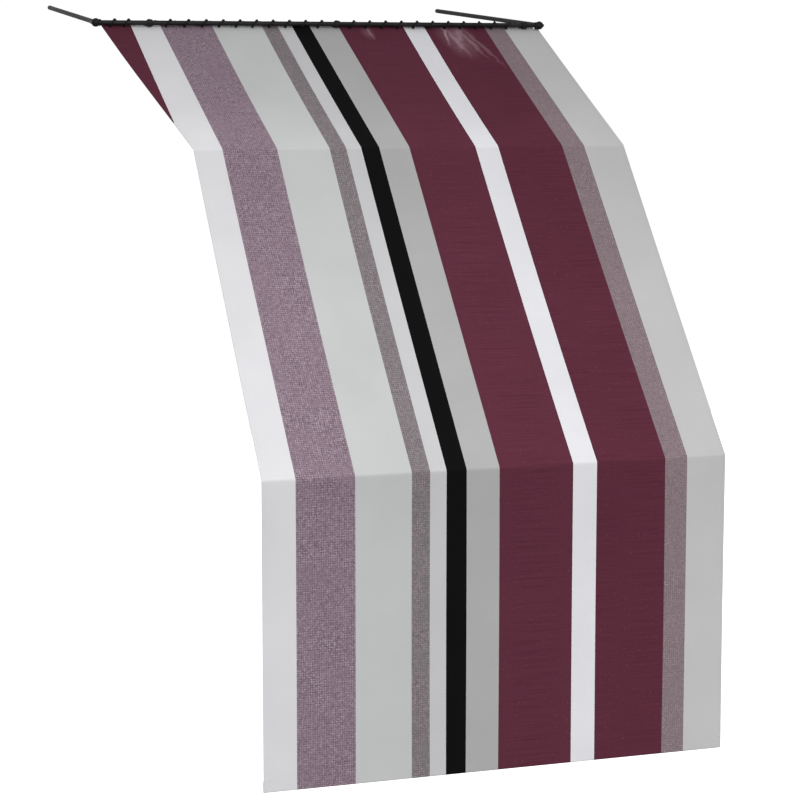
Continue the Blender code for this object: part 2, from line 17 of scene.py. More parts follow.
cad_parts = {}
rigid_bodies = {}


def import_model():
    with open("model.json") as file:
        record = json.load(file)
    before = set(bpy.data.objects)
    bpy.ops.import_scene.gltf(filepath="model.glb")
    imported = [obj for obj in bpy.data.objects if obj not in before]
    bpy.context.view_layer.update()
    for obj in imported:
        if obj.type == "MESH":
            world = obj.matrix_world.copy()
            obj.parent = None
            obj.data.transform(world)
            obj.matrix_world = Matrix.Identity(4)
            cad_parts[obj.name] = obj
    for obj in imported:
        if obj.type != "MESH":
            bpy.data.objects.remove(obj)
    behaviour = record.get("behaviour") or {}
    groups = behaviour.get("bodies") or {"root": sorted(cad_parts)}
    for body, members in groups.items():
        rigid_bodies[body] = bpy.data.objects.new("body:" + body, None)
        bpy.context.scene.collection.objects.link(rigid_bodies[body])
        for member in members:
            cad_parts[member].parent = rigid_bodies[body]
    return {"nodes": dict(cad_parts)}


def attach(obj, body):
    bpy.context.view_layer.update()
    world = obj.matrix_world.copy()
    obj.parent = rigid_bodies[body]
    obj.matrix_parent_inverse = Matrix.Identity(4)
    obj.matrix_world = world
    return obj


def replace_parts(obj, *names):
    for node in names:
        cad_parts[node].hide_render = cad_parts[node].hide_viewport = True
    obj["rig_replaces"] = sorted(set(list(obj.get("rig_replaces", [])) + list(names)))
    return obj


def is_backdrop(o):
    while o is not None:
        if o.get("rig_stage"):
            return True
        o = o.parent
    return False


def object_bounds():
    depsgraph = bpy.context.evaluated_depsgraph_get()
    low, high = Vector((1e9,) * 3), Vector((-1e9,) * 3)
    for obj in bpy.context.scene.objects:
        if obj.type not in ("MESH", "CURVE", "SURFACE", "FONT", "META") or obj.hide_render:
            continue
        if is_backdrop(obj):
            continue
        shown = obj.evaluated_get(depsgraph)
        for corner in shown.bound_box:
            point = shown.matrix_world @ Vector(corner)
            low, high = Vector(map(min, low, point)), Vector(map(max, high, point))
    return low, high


for leftover in list(bpy.data.objects):
    bpy.data.objects.remove(leftover)

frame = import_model()
cad_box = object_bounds()
print("CAD box", [round(v, 3) for corner in cad_box for v in corner], "nodes", len(frame["nodes"]))

# %% [markdown]
# ## Where things are
# The origin is on the wall, midway between the arms' wall ends. The awning comes
# forward towards -Y. It is easiest to think in a side view: a point is so far
# forward of the head bar's axis and so far above it. One helper turns such a point,
# and a distance from the drop's left edge, into a place in the room.

# %% Sizes shared with the solid parts, in metres
GAP = 0.0003
CLOTH_WIDTH = 1.120
HEAD_FLARE = 0.075
UPPER_SLOPE = radians(27.4)
LOWER_SLOPE = radians(50.94)
UPPER_LENGTH = 0.6368
LOWER_LENGTH = 0.9014
DROP_LENGTH = 0.6975
TUBE_RADIUS = 0.006
TUBE_BORE = 0.0048
LACE_RADIUS = 0.00225
WRAP_RADIUS = TUBE_RADIUS + GAP + LACE_RADIUS
HEAD_OFFSET = 0.012
RIB_OFFSET = 0.007
BAR_LEFT, BAR_RIGHT = -0.093, 1.120
ARM_REACH, ARM_RISE = 0.702, 0.054
CENTRE_X = (BAR_LEFT + BAR_RIGHT) / 2


def slope_axes(angle):
    """Unit vectors down a slope and square to it, under the cloth, as (forward, up)."""
    return Vector((cos(angle), -sin(angle))), Vector((-sin(angle), -cos(angle)))


def at(x, point):
    """Place of a side-view point at x from the drop's left edge."""
    return Vector((x - CENTRE_X, -ARM_REACH - point[0], -ARM_RISE + point[1]))


def facing(way):
    """A side-view direction as a direction in the room."""
    return Vector((0, -way[0], way[1]))


UPPER_RUN, UPPER_UNDER = slope_axes(UPPER_SLOPE)
LOWER_RUN, LOWER_UNDER = slope_axes(LOWER_SLOPE)


def on_hem(x, run, under):
    """Place near the head: so far down the upper slope, and so far under the bar's axis."""
    return at(x, UPPER_RUN * run + UPPER_UNDER * under)


HEAD_POINT = UPPER_UNDER * HEAD_OFFSET
FIRST_FOLD = HEAD_POINT + UPPER_RUN * UPPER_LENGTH
SECOND_FOLD = FIRST_FOLD + LOWER_RUN * LOWER_LENGTH


def fold_centre(apex, before, after):
    """The axis of a fold's bar, which lies the same distance under both slopes."""
    return apex + slope_axes((before + after) / 2)[1] * (RIB_OFFSET / cos((before - after) / 2))


FIRST_CENTRE = fold_centre(FIRST_FOLD, UPPER_SLOPE, LOWER_SLOPE)
SECOND_CENTRE = fold_centre(SECOND_FOLD, LOWER_SLOPE, pi / 2)
print("folds at", at(0, FIRST_FOLD)[:], at(0, SECOND_FOLD)[:])

# %% [markdown]
# ## Places along the head bar
# The lacing turns round the bar every 44 mm, a little wider at the left end. Three
# of those places hold a clamp instead of a turn. An eyelet stands just before each
# turn. The same short rules give all of these places, so they are rules here too.

# %% Turns, clamps and eyelets
TURN_START_X, TURN_EASE, TURN_EASE_COUNT, FIRST_TURN_X = -0.0105, 0.0305, 1.75, -0.0469
RIGHT_CLAMP_INSET, LAST_TURN = 0.0440, 24
CLAMP_TURNS = {"left": 1, "middle": 12, "right": LAST_TURN}
NOTCH_HALF_WIDTH = 0.0105
EYELET_LEAD, EYELET_BACK, EYELET_FLANGE, EDGE_MARGIN = 0.0225, 0.016, 0.0130, 0.011


def turn_ease(index):
    return TURN_EASE * (1 - exp(-index / TURN_EASE_COUNT))


TURN_PITCH = (CLOTH_WIDTH - RIGHT_CLAMP_INSET - TURN_START_X - turn_ease(LAST_TURN)) / LAST_TURN


def turn_x(index):
    return FIRST_TURN_X if index < 0 else TURN_START_X + TURN_PITCH * index + turn_ease(index)


CLAMP_X = {side: turn_x(turn) for side, turn in CLAMP_TURNS.items()}


def eyelet_x(index):
    """An eyelet keeps clear of the cloth's edge and of the clamps' notches."""
    x = max(turn_x(index) - EYELET_LEAD, -HEAD_FLARE + EDGE_MARGIN)
    for clamp_x in CLAMP_X.values():
        keep = NOTCH_HALF_WIDTH + EYELET_FLANGE / 2 + GAP * 10
        x = clamp_x + keep if abs(x - clamp_x) < keep else x
    return x


turns = [index for index in range(-1, LAST_TURN) if index not in CLAMP_TURNS.values()]
eyelets = [eyelet_x(index) for index in turns] + [CLAMP_X["right"] - NOTCH_HALF_WIDTH - EDGE_MARGIN]
print("turns", len(turns), "eyelets", len(eyelets), "clamps at", [round(x, 4) for x in CLAMP_X.values()])

# %% [markdown]
# ## Camera
# The camera comes early, so that each piece can be looked at from the photograph's
# side as it is made. A long lens from seven metres keeps the drop's sides upright.

# %% Camera
camera = bpy.data.objects.new("camera", bpy.data.cameras.new("camera"))
bpy.context.scene.collection.objects.link(camera)
bpy.context.scene.camera = camera
camera.location = (-2.0375, -6.974, -0.179)
camera.rotation_euler = (radians(90 - 7.46), 0, radians(-19.71))
camera.data.lens = 112.6
camera.data.sensor_width = 36
camera.data.clip_end = 60
print("camera", camera.location[:])

# %% [markdown]
# ## Small tools for nodes
# A material is a graph of nodes. Written out in full, each node takes four or five
# lines. These helpers add a node, set or wire its sockets and hand back the socket
# that the next node reads, so that a material below reads almost like a sentence.

# %% Node helpers
def linear(red, green, blue):
    """A colour as seen on a screen, 0 to 255, as the linear values that shaders use."""
    seen = [value / 255 for value in (red, green, blue)]
    return tuple(v / 12.92 if v < 0.0404 else ((v + 0.055) / 1.055) ** 2.4 for v in seen) + (1,)


def fill(tree, made, inputs):
    """Set a node's inputs to values, or wire them from sockets."""
    for socket, value in inputs.items():
        if isinstance(value, bpy.types.NodeSocket):
            tree.links.new(value, made.inputs[socket])
        else:
            made.inputs[socket].default_value = value
    return made


def add(tree, kind, inputs=None, **settings):
    """A node with its settings and inputs."""
    made = tree.nodes.new("ShaderNode" + kind)
    for name, value in settings.items():
        setattr(made, name, value)
    return fill(tree, made, inputs or {})


def sums(tree, operation, *values, clamp=False):
    """A Math node's result."""
    return add(tree, "Math", dict(enumerate(values)), operation=operation, use_clamp=clamp).outputs[0]


def plus(tree, a, b):
    return sums(tree, "ADD", a, b)


def times(tree, first, *others, clamp=False):
    for other in others:
        first = sums(tree, "MULTIPLY", first, other, clamp=clamp)
    return first


def blend(tree, share, a, b):
    """One colour mixed with another."""
    return add(tree, "Mix", {0: share, 6: a, 7: b}, data_type="RGBA", clamp_factor=True).outputs[2]


def remap(tree, value, low, high, to_low=0.0, to_high=1.0):
    """A value moved from one range to another and kept inside it."""
    return add(tree, "MapRange", {0: value, 1: low, 2: high, 3: to_low, 4: to_high}).outputs[0]


def ramp(tree, share, stops, kind="LINEAR"):
    """A colour ramp through stops of (position, colour)."""
    made = add(tree, "ValToRGB", {0: share})
    made.color_ramp.interpolation = kind
    while len(made.color_ramp.elements) < len(stops):
        made.color_ramp.elements.new(1.0)
    for element, (position, colour) in zip(made.color_ramp.elements, stops):
        element.position = position
        element.color = colour
    return made.outputs[0]


def noise(tree, vector, scale, detail=2.0, rough=0.5):
    """Soft cloudy noise around 0.5."""
    return add(tree, "TexNoise", {"Vector": vector, "Scale": scale, "Detail": detail, "Roughness": rough}).outputs[0]


def chance(tree, x, y, z):
    """A random value for each whole-numbered cell."""
    cell = add(tree, "CombineXYZ", {0: x, 1: y, 2: z}).outputs[0]
    return add(tree, "TexWhiteNoise", {"Vector": cell}, noise_dimensions="3D").outputs["Value"]


def split(tree, vector):
    """The three numbers of a vector."""
    return add(tree, "SeparateXYZ", {0: vector}).outputs


def stretched(tree, vector, scale, move=(0, 0, 0), turn=0.0):
    """Coordinates scaled, moved and turned by a Mapping node."""
    inputs = {"Vector": vector, "Scale": scale, "Location": move, "Rotation": (0, 0, turn)}
    return add(tree, "Mapping", inputs).outputs[0]


def bumped(tree, height, strength, distance):
    """A normal that makes a flat surface look raised where height is high."""
    return add(tree, "Bump", {"Height": height, "Strength": strength, "Distance": distance}).outputs[0]


def new_group(name, inputs, outputs):
    """An empty node group with its sockets, and its input and output nodes."""
    group = bpy.data.node_groups.new(name, "ShaderNodeTree")
    kinds = {"v": "NodeSocketVector", "f": "NodeSocketFloat", "c": "NodeSocketColor"}
    for way, sockets in (("INPUT", inputs), ("OUTPUT", outputs)):
        for socket, kind in sockets:
            group.interface.new_socket(socket, in_out=way, socket_type=kinds[kind])
    return group, group.nodes.new("NodeGroupInput").outputs, group.nodes.new("NodeGroupOutput").inputs


def use_group(tree, group, inputs):
    """A copy of the group in a material."""
    return add(tree, "Group", inputs, node_tree=group).outputs


def wire(tree, shader, **sockets):
    """Set or wire a shader's sockets, with _ for the spaces in their names."""
    fill(tree, shader, {socket.replace("_", " "): value for socket, value in sockets.items()})


def new_material(name, **plain):
    """A material and its shader, with the constant values set on the shader itself."""
    made = bpy.data.materials.new(name)
    made.use_nodes = True
    shader = made.node_tree.nodes["Principled BSDF"]
    wire(made.node_tree, shader, **plain)
    return made, made.node_tree, shader


print("node helpers ready")

# %% [markdown]
# ## Room and light
# The photograph is a plain white studio shot, almost without shadows. A white world
# gives light from all sides; the camera sees it a little brighter than it shines, so
# the room is pure white and the cloth isn't washed out. A large soft panel in front
# makes the lower slope the brightest part, and a weak one near the floor lifts the
# foot of the drop. The floor is far below, as under a window, and melts into the
# white.

# %% World, lights and floor
WORLD_LIGHT, WORLD_SEEN = 0.68, 1.02
KEY_POWER, FILL_POWER = 91, 14
FLOOR_HEIGHT = -5.0

world = bpy.data.worlds.new("white_room")
bpy.context.scene.world = world
world.use_nodes = True
sky = world.node_tree
seen = add(sky, "LightPath").outputs["Is Camera Ray"]
fill(sky, sky.nodes["Background"], {
    "Color": (1, 1, 1, 1), "Strength": remap(sky, seen, 0.0, 1.0, WORLD_LIGHT, WORLD_SEEN)})
bpy.context.scene.view_settings.view_transform = "Standard"


def soft_panel(name, place, target, size, power):
    """A square light that faces its target."""
    lamp = bpy.data.lights.new(name, "AREA")
    lamp.shape = "SQUARE"
    lamp.size = size
    lamp.energy = power
    holder = bpy.data.objects.new(name, lamp)
    bpy.context.scene.collection.objects.link(holder)
    holder.location = place
    holder.rotation_euler = (Vector(target) - Vector(place)).to_track_quat("-Z", "Y").to_euler()


soft_panel("key_panel", (-0.4, -4.0, 1.3), (0, -1.4, -0.8), 2.2, KEY_POWER)
soft_panel("fill_panel", (-0.1, -4.4, -2.1), (0, -1.8, -1.4), 1.4, FILL_POWER)

bm = bmesh.new()
bmesh.ops.create_grid(bm, x_segments=1, y_segments=1, size=25, matrix=Matrix.Translation((0, 0, FLOOR_HEIGHT)))
floor = bpy.data.objects.new("floor", bpy.data.meshes.new("floor"))
bm.to_mesh(floor.data)
bm.free()
bpy.context.scene.collection.objects.link(floor)
floor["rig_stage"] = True
PALE_FLOOR, tree, shader = new_material(
    "pale_floor", Base_Color=(0.62, 0.62, 0.62, 1), Roughness=0.9, Emission_Color=(1, 1, 1, 1))
wire(tree, shader, Emission_Strength=add(tree, "LightPath").outputs["Is Camera Ray"])
floor.data.materials.append(PALE_FLOOR)
print("room ready")

# %% [markdown]
# ## Shared effect: a plain weave
# Canvas is woven from yarns that pass over and under each other. Seen close, that
# is a chequer of small bumps. Two sine waves multiplied give the chequer, and each
# bump is stretched along its own yarn. The group reads flat coordinates in metres,
# so the yarn pitch is a real size.

# %% Weave group
weave_group, given, result = new_group(
    "plain_weave", [("Spot", "v"), ("Pitch", "f")], [("Height", "f"), ("Upright", "f")])
parts = split(weave_group, given["Spot"])
turns_per_metre = sums(weave_group, "DIVIDE", pi, given["Pitch"])
waves = [sums(weave_group, "SINE", times(weave_group, part, turns_per_metre)) for part in (parts[0], parts[1])]
chequer = times(weave_group, *waves)
weave_group.links.new(sums(weave_group, "GREATER_THAN", chequer, 0.0), result["Upright"])
weave_group.links.new(sums(weave_group, "POWER", sums(weave_group, "ABSOLUTE", chequer), 0.6), result["Height"])
print("weave group", len(weave_group.nodes), "nodes")

# %% [markdown]
# ## Shared effect: slubs of mixed yarn
# The purple and grey tweed stripes are spun from light and dark fibres, so each
# short length of yarn has its own tone. The flat coordinates are cut into cells,
# long along the yarn and one yarn wide, and a White Noise node gives every cell its
# tone. Upright and level yarns take turns, as the weave does.

# %% Slub group
slub_group, given, result = new_group(
    "yarn_slubs", [("Spot", "v"), ("Pitch", "f"), ("Length", "f"), ("Upright", "f")], [("Tone", "f")])
tones = []
for wide, tall in (("Pitch", "Length"), ("Length", "Pitch")):
    spot = split(slub_group, given["Spot"])
    column, row = [sums(slub_group, "FLOOR", sums(slub_group, "DIVIDE", part, given[size]))
                   for part, size in ((spot[0], wide), (spot[1], tall))]
    tones.append(chance(slub_group, column, row, 0.5))
slub_group.links.new(
    add(slub_group, "Mix", {0: given["Upright"], 2: tones[1], 3: tones[0]}).outputs[0], result["Tone"])
print("slub group", len(slub_group.nodes), "nodes")

# %% [markdown]
# ## Shared effect: rows of dots
# From a step away, the tweed also shows rows of dark and pale dots where thicker
# yarns cross. A square grid gives each dot its cell; White Noise makes some dots
# strong and leaves others out, so that the rows look woven, not printed.

# %% Dot group
dot_group, given, result = new_group(
    "yarn_dots", [("Spot", "v"), ("Pitch", "f"), ("Offset", "f")], [("Dots", "f")])
parts = split(dot_group, given["Spot"])
cells, middles = [], []
for part in (parts[0], parts[1]):
    count = plus(dot_group, sums(dot_group, "DIVIDE", part, given["Pitch"]), given["Offset"])
    cells.append(sums(dot_group, "FLOOR", count))
    middles.append(sums(dot_group, "POWER", sums(dot_group, "SUBTRACT", sums(dot_group, "FRACT", count), 0.5), 2.0))
away = sums(dot_group, "SQRT", plus(dot_group, *middles))
strong = remap(dot_group, chance(dot_group, *cells, given["Offset"]), 0.25, 1.0)
dot_group.links.new(times(dot_group, remap(dot_group, away, 0.18, 0.4, 1.0, 0.0), strong), result["Dots"])
print("dot group", len(dot_group.nodes), "nodes")

# %% [markdown]
# ## Shared effect: handled paint
# Painted and cast parts of an awning are never one clean tone: the coat has a light
# orange-peel skin, dust settles in soft patches and edges are rubbed paler. The
# group takes the clean colour and puts out the worn colour, a roughness and a
# height. The edge mask is fed in from the material.

# %% Paint group
paint_group, given, result = new_group(
    "handled_paint",
    [("Place", "v"), ("Colour", "c"), ("Rubbed", "c"), ("Edge", "f"), ("Dust", "f"), ("Skin", "f"), ("Gloss", "f")],
    [("Colour", "c"), ("Roughness", "f"), ("Height", "f")])
patches = noise(paint_group, given["Place"], 22.0, 4.0, 0.6)
skin = noise(paint_group, given["Place"], given["Skin"], 2.0)
scratches = noise(paint_group, stretched(paint_group, given["Place"], (260, 9, 9)), 1.0, 3.0, 0.7)
rub = times(paint_group, given["Edge"], remap(paint_group, patches, 0.35, 0.7, 0.35, 1.0), clamp=True)
dusty = times(paint_group, remap(paint_group, patches, 0.45, 0.75), given["Dust"])
tone = blend(paint_group, dusty, given["Colour"], linear(128, 124, 118))
worn = blend(paint_group, rub, tone, given["Rubbed"])
scratch_mask = remap(paint_group, scratches, 0.63, 0.72, 0.0, 0.35)
rough = plus(paint_group, given["Gloss"], remap(paint_group, patches, 0.3, 0.75, -0.06, 0.14))
for value, name in ((blend(paint_group, scratch_mask, worn, given["Rubbed"]), "Colour"),
                    (sums(paint_group, "SUBTRACT", rough, times(paint_group, rub, 0.12)), "Roughness"),
                    (sums(paint_group, "SUBTRACT", skin, times(paint_group, scratch_mask, 0.5)), "Height")):
    paint_group.links.new(value, result[name])
print("paint group", len(paint_group.nodes), "nodes")

# %% [markdown]
# ## Metal and plastic finishes
# One function makes each hard finish from the paint group. Black paint is smooth
# and half matt, cast clamps are grainier, screws are bare dark steel, and the end
# plugs are soft black plastic. Pointiness finds the convex edges that get rubbed.

# %% Hard finishes
def hard_finish(name, colour, rubbed, edge, dust, skin, gloss, bump, metallic=0.0, specular=0.35):
    made, tree, shader = new_material(name, Metallic=metallic, Specular_IOR_Level=specular)
    place = add(tree, "TexCoord").outputs["Object"]
    point = add(tree, "NewGeometry").outputs["Pointiness"]
    worn = use_group(tree, paint_group, {
        "Place": place, "Colour": colour, "Rubbed": rubbed, "Edge": remap(tree, point, 0.53, 0.62, 0.0, edge),
        "Dust": dust, "Skin": skin, "Gloss": gloss})
    wire(tree, shader, Base_Color=worn["Colour"], Roughness=worn["Roughness"],
         Normal=bumped(tree, worn["Height"], bump, 0.0002))
    return made


BLACK_PAINT = hard_finish(
    "painted_black_tube", linear(17, 16, 17), linear(52, 50, 49), 0.5, 0.03, 900, 0.48, 0.25, specular=0.14)
CAST_BLACK = hard_finish(
    "cast_black_metal", linear(19, 18, 18), linear(66, 64, 62), 0.6, 0.05, 1400, 0.55, 0.5, specular=0.14)
SCREW_STEEL = hard_finish(
    "dark_screw_steel", linear(92, 91, 90), linear(150, 149, 146), 0.8, 0.08, 1800, 0.32, 0.2, 1.0, 0.5)
PLUG_PLASTIC = hard_finish(
    "soft_plug_plastic", linear(30, 30, 30), linear(58, 58, 58), 0.3, 0.08, 2400, 0.55, 0.35)
ZINC = hard_finish(
    "zinc_plate", linear(176, 177, 178), linear(214, 214, 212), 0.5, 0.12, 300, 0.36, 0.15, 1.0, 0.5)
print("hard finishes", [m.name for m in (BLACK_PAINT, CAST_BLACK, SCREW_STEEL, PLUG_PLASTIC, ZINC)])

# %% [markdown]
# ## The striped cloth's finish
# The stripes run the whole length of the cloth. The cloth has flat coordinates in
# metres, and counting how many stripe edges lie to the left gives each spot its
# stripe's number. A colour ramp then looks the number up. Two more ramps say where
# the yarn is mixed tweed, and where level yarns show as fine darker lines.

# %% Stripe table
BURGUNDY, LIGHT_GREY, PURPLE = (84, 42, 55), (194, 193, 196), (122, 104, 116)
STRIPES = [  # where each stripe starts, in metres from the drop's left edge, its colour, tweed, weave lines
    (-0.200, BURGUNDY, 0, 1),
    (0.000, LIGHT_GREY, 0, 0),
    (0.077, PURPLE, 1, 0),
    (0.214, (173, 174, 174), 0, 0),
    (0.347, (109, 105, 105), 0.7, 0),
    (0.390, (175, 175, 177), 0, 0),
    (0.429, (14, 14, 14), 0, 0),
    (0.477, (153, 153, 153), 0, 0),
    (0.556, BURGUNDY, 0, 1),
    (0.736, (198, 198, 202), 0, 0),
    (0.795, (82, 40, 53), 0, 1),
    (0.966, (117, 103, 107), 0.5, 0),
    (1.022, (169, 169, 169), 0, 0),
]


def stripe_ramp(tree, share, values):
    """A ramp with one even step for each stripe."""
    return ramp(tree, share, [(i / len(values), value) for i, value in enumerate(values)], "CONSTANT")


print("stripes", len(STRIPES))

# %% [markdown]
# ## From stripes to canvas
# Colour alone would look printed. The group below adds what the photograph shows:
# speckled tweed, level weave lines and stray pale fibres in the burgundy, a soft
# unevenness from sun and dust, and pale streaks near the head. It also paints
# shade into the colour: each panel darker near its top and brighter towards its
# fold, the drop brighter towards its right side, and the dips of the weave darker.
# The stitching thread reads the same group, so it takes each stripe's colour.

# %% Stripe group
YARN_PITCH, DOT_PITCH, EDGE_WANDER = 0.0013, 0.0053, 0.0008
stripe_group, given, result = new_group(
    "striped_canvas", [("Spot", "v")], [("Colour", "c"), ("Roughness", "f"), ("Height", "f")])
tree, spot = stripe_group, given["Spot"]
wander = sums(tree, "SUBTRACT", noise(tree, stretched(tree, spot, (60, 420, 1)), 1.0), 0.5)
parts = split(tree, spot)
across, passed = plus(tree, parts[0], times(tree, wander, EDGE_WANDER)), 0.5
for start, *_ in STRIPES[1:]:
    passed = plus(tree, sums(tree, "GREATER_THAN", across, start), passed)
share = sums(tree, "DIVIDE", passed, float(len(STRIPES)))
colour = stripe_ramp(tree, share, [linear(*stripe[1]) for stripe in STRIPES])
tweed, lined = [stripe_ramp(tree, share, [(stripe[i],) * 3 + (1,) for stripe in STRIPES]) for i in (2, 3)]

weave = use_group(tree, weave_group, {"Spot": spot, "Pitch": YARN_PITCH})
slub, coarse = [use_group(tree, slub_group, {
    "Spot": spot, "Pitch": YARN_PITCH * yarns, "Length": YARN_PITCH * 3, "Upright": weave["Upright"]})["Tone"]
    for yarns in (1, 2)]
fleck = plus(tree, times(tree, slub, 0.5), times(tree, coarse, 0.5))
contrast = times(tree, tweed, remap(tree, noise(tree, spot, 14.0, 2.0), 0.3, 0.7, 0.5, 1.0))
flecked = blend(tree, remap(tree, fleck, 0.25, 0.8), linear(74, 60, 69), linear(152, 137, 146))
colour = blend(tree, times(tree, contrast, 0.52), colour, flecked)
for offset, dot_colour, amount in ((0.0, linear(50, 36, 45), 0.85), (0.5, linear(196, 182, 190), 0.55)):
    dots = use_group(tree, dot_group, {"Spot": spot, "Pitch": DOT_PITCH, "Offset": offset})["Dots"]
    colour = blend(tree, times(tree, dots, contrast, amount), colour, dot_colour)

lines = noise(tree, stretched(tree, spot, (7, 620, 1)), 1.0, 3.0, 0.6)
colour = blend(tree, times(tree, remap(tree, lines, 0.45, 0.7, 0.0, 0.42), lined), colour, linear(52, 18, 32))
cell = add(tree, "VectorMath", {0: stretched(tree, spot, (900, 900, 1))}, operation="FLOOR").outputs[0]
speck = add(tree, "TexWhiteNoise", {"Vector": cell}, noise_dimensions="3D").outputs["Value"]
speck_share = times(tree, sums(tree, "GREATER_THAN", speck, 0.997), lined, 0.4)
colour = blend(tree, speck_share, colour, linear(150, 110, 122))


PALE_STREAKS = [  # middle, half width and half length, turn and strength of each pale streak
    ((0.842, 0.034), (0.0060, 0.070), -0.10, 0.85),
    ((0.862, 0.055), (0.008, 0.12), 0.16, 0.40),
    ((0.880, 0.035), (0.013, 0.10), -0.22, 0.38),
    ((0.902, 0.070), (0.008, 0.12), 0.20, 0.36),
    ((0.925, 0.090), (0.008, 0.15), 0.24, 0.28),
    ((0.870, 0.050), (0.060, 0.13), 0.10, 0.30),
    ((0.634, 0.024), (0.006, 0.055), 0.12, 0.42),
    ((0.628, 0.025), (0.022, 0.050), 0.0, 0.18),
]


def pale_streak(tree, spot, centre, reach, turn, strength):
    """A soft pale streak: a stretched round gradient with ragged edges."""
    ragged = add(tree, "TexNoise", {"Vector": spot, "Scale": 26.0, "Detail": 3.0}).outputs["Color"]
    shift = add(tree, "VectorMath", {0: ragged, 1: (0.5, 0.5, 0.5)}, operation="SUBTRACT").outputs[0]
    bent = add(tree, "VectorMath", {0: shift, 1: (0.022, 0.03, 0), 2: spot}, operation="MULTIPLY_ADD").outputs[0]
    moved = stretched(tree, bent, (1, 1, 1), (-centre[0], -centre[1], 0))
    local = stretched(tree, stretched(tree, moved, (1, 1, 1), turn=turn), (1 / reach[0], 1 / reach[1], 0))
    near = add(tree, "TexGradient", {0: local}, gradient_type="SPHERICAL").outputs[1]
    grain = remap(tree, noise(tree, stretched(tree, spot, (260, 60, 1)), 1.0, 3.0), 0.3, 0.7, 0.5, 1.0)
    return times(tree, near, grain, strength, clamp=True)


for centre, reach, turn, strength in PALE_STREAKS:
    colour = blend(tree, pale_streak(tree, spot, centre, reach, turn, strength), colour, linear(178, 150, 160))

# Painted shade: the cloth is drawn darker near the head and at the top of each panel, brighter towards each fold, with
# a sharp darker step just past each fold and a brighter foot of the drop.
PANEL_SHADE = [  # painted shade: how bright the cloth is drawn, by distance down it from the head bar
    (-0.030, 0.925), (0.200, 0.935), (0.400, 0.965), (0.573, 1.040), (0.635, 1.050), (0.638, 0.900), (0.708, 0.905),
    (1.086, 1.000), (1.474, 1.045), (1.536, 1.050), (1.540, 0.955), (1.577, 0.960), (1.885, 1.060), (2.185, 1.110),
    (2.300, 1.120),
]
PANEL_SHADE_TOP = 1.25  # a ramp's colours stay below 1, so the shares are divided by this and multiplied again
low, high = PANEL_SHADE[0][0], PANEL_SHADE[-1][0]
stops = [((s - low) / (high - low), (kept / PANEL_SHADE_TOP,) * 3 + (1,)) for s, kept in PANEL_SHADE]
painted_panel_shade = times(tree, ramp(tree, remap(tree, parts[1], low, high), stops), PANEL_SHADE_TOP)
cloudy = remap(tree, noise(tree, spot, 5.0, 3.0), 0.3, 0.7, 0.965, 1.03)
yarn_shade = remap(tree, weave["Height"], 0.0, 1.0, 0.93, 1.02)
# Painted light: on the drop the colour is drawn up to 11 % brighter towards its right side.
painted_side_light = times(tree, remap(tree, parts[0], 0.45, 1.10, 0.0, 0.11), remap(tree, parts[1], 1.535, 1.545))
# Random tone multiplied with painted shade: the darker dips of the weave, the panels' gradient and the drop's brighter
# right side.
tone_and_painted_shade = times(tree, cloudy, yarn_shade, painted_panel_shade, plus(tree, painted_side_light, 1.0))
scaled = add(tree, "VectorMath", {0: colour, "Scale": tone_and_painted_shade}, operation="SCALE").outputs[0]
for value, name in ((scaled, "Colour"), (remap(tree, slub, 0.0, 1.0, 0.8, 0.95), "Roughness"),
                    (plus(tree, weave["Height"], times(tree, slub, 0.3)), "Height")):
    tree.links.new(value, result[name])
print("stripe group", len(stripe_group.nodes), "nodes")

# %% [markdown]
# ## Cloth and thread
# Both materials read the stripe group with the piece's own flat coordinates. They
# differ in name and in how deep the weave is pressed into the surface.

# %% Cloth and thread materials
def canvas(name, strength, specular=0.02):
    made, tree, shader = new_material(name, Specular_IOR_Level=specular)
    spot = add(tree, "TexCoord").outputs["UV"]
    striped = use_group(tree, stripe_group, {"Spot": spot})
    wire(tree, shader, Base_Color=striped["Colour"], Roughness=striped["Roughness"],
         Normal=bumped(tree, striped["Height"], strength, 0.0003))
    return made


STRIPED_CANVAS = canvas("striped_canvas", 0.5)
THREAD = canvas("sewing_thread", 0.2)
print("cloth finishes", STRIPED_CANVAS.name, THREAD.name)

# %% [markdown]
# ## Webbing and cord finishes
# The band under the head hem is a ribbed webbing, and the lacing is a black braided
# cord. Both have coordinates that follow their length, so ribs and braid run with
# the piece however it bends.

# %% Webbing and cord materials
RIB_PITCH, BRAID_PITCH, BRAID_STRANDS = 0.0011, 0.0062, 3
HEM_WEBBING, tree, shader = new_material("hem_webbing", Specular_IOR_Level=0.15, Sheen_Weight=0.05)
spot = add(tree, "TexCoord").outputs["UV"]
rib = use_group(tree, weave_group, {"Spot": spot, "Pitch": RIB_PITCH})
tone = remap(tree, noise(tree, spot, 60.0, 3.0), 0.3, 0.7)
ribbed = blend(tree, rib["Upright"], linear(140, 138, 142), linear(158, 157, 160))
wire(tree, shader, Base_Color=blend(tree, times(tree, tone, 0.35), ribbed, linear(112, 109, 112)),
     Roughness=remap(tree, tone, 0.0, 1.0, 0.75, 0.92), Normal=bumped(tree, rib["Height"], 0.6, 0.0003))

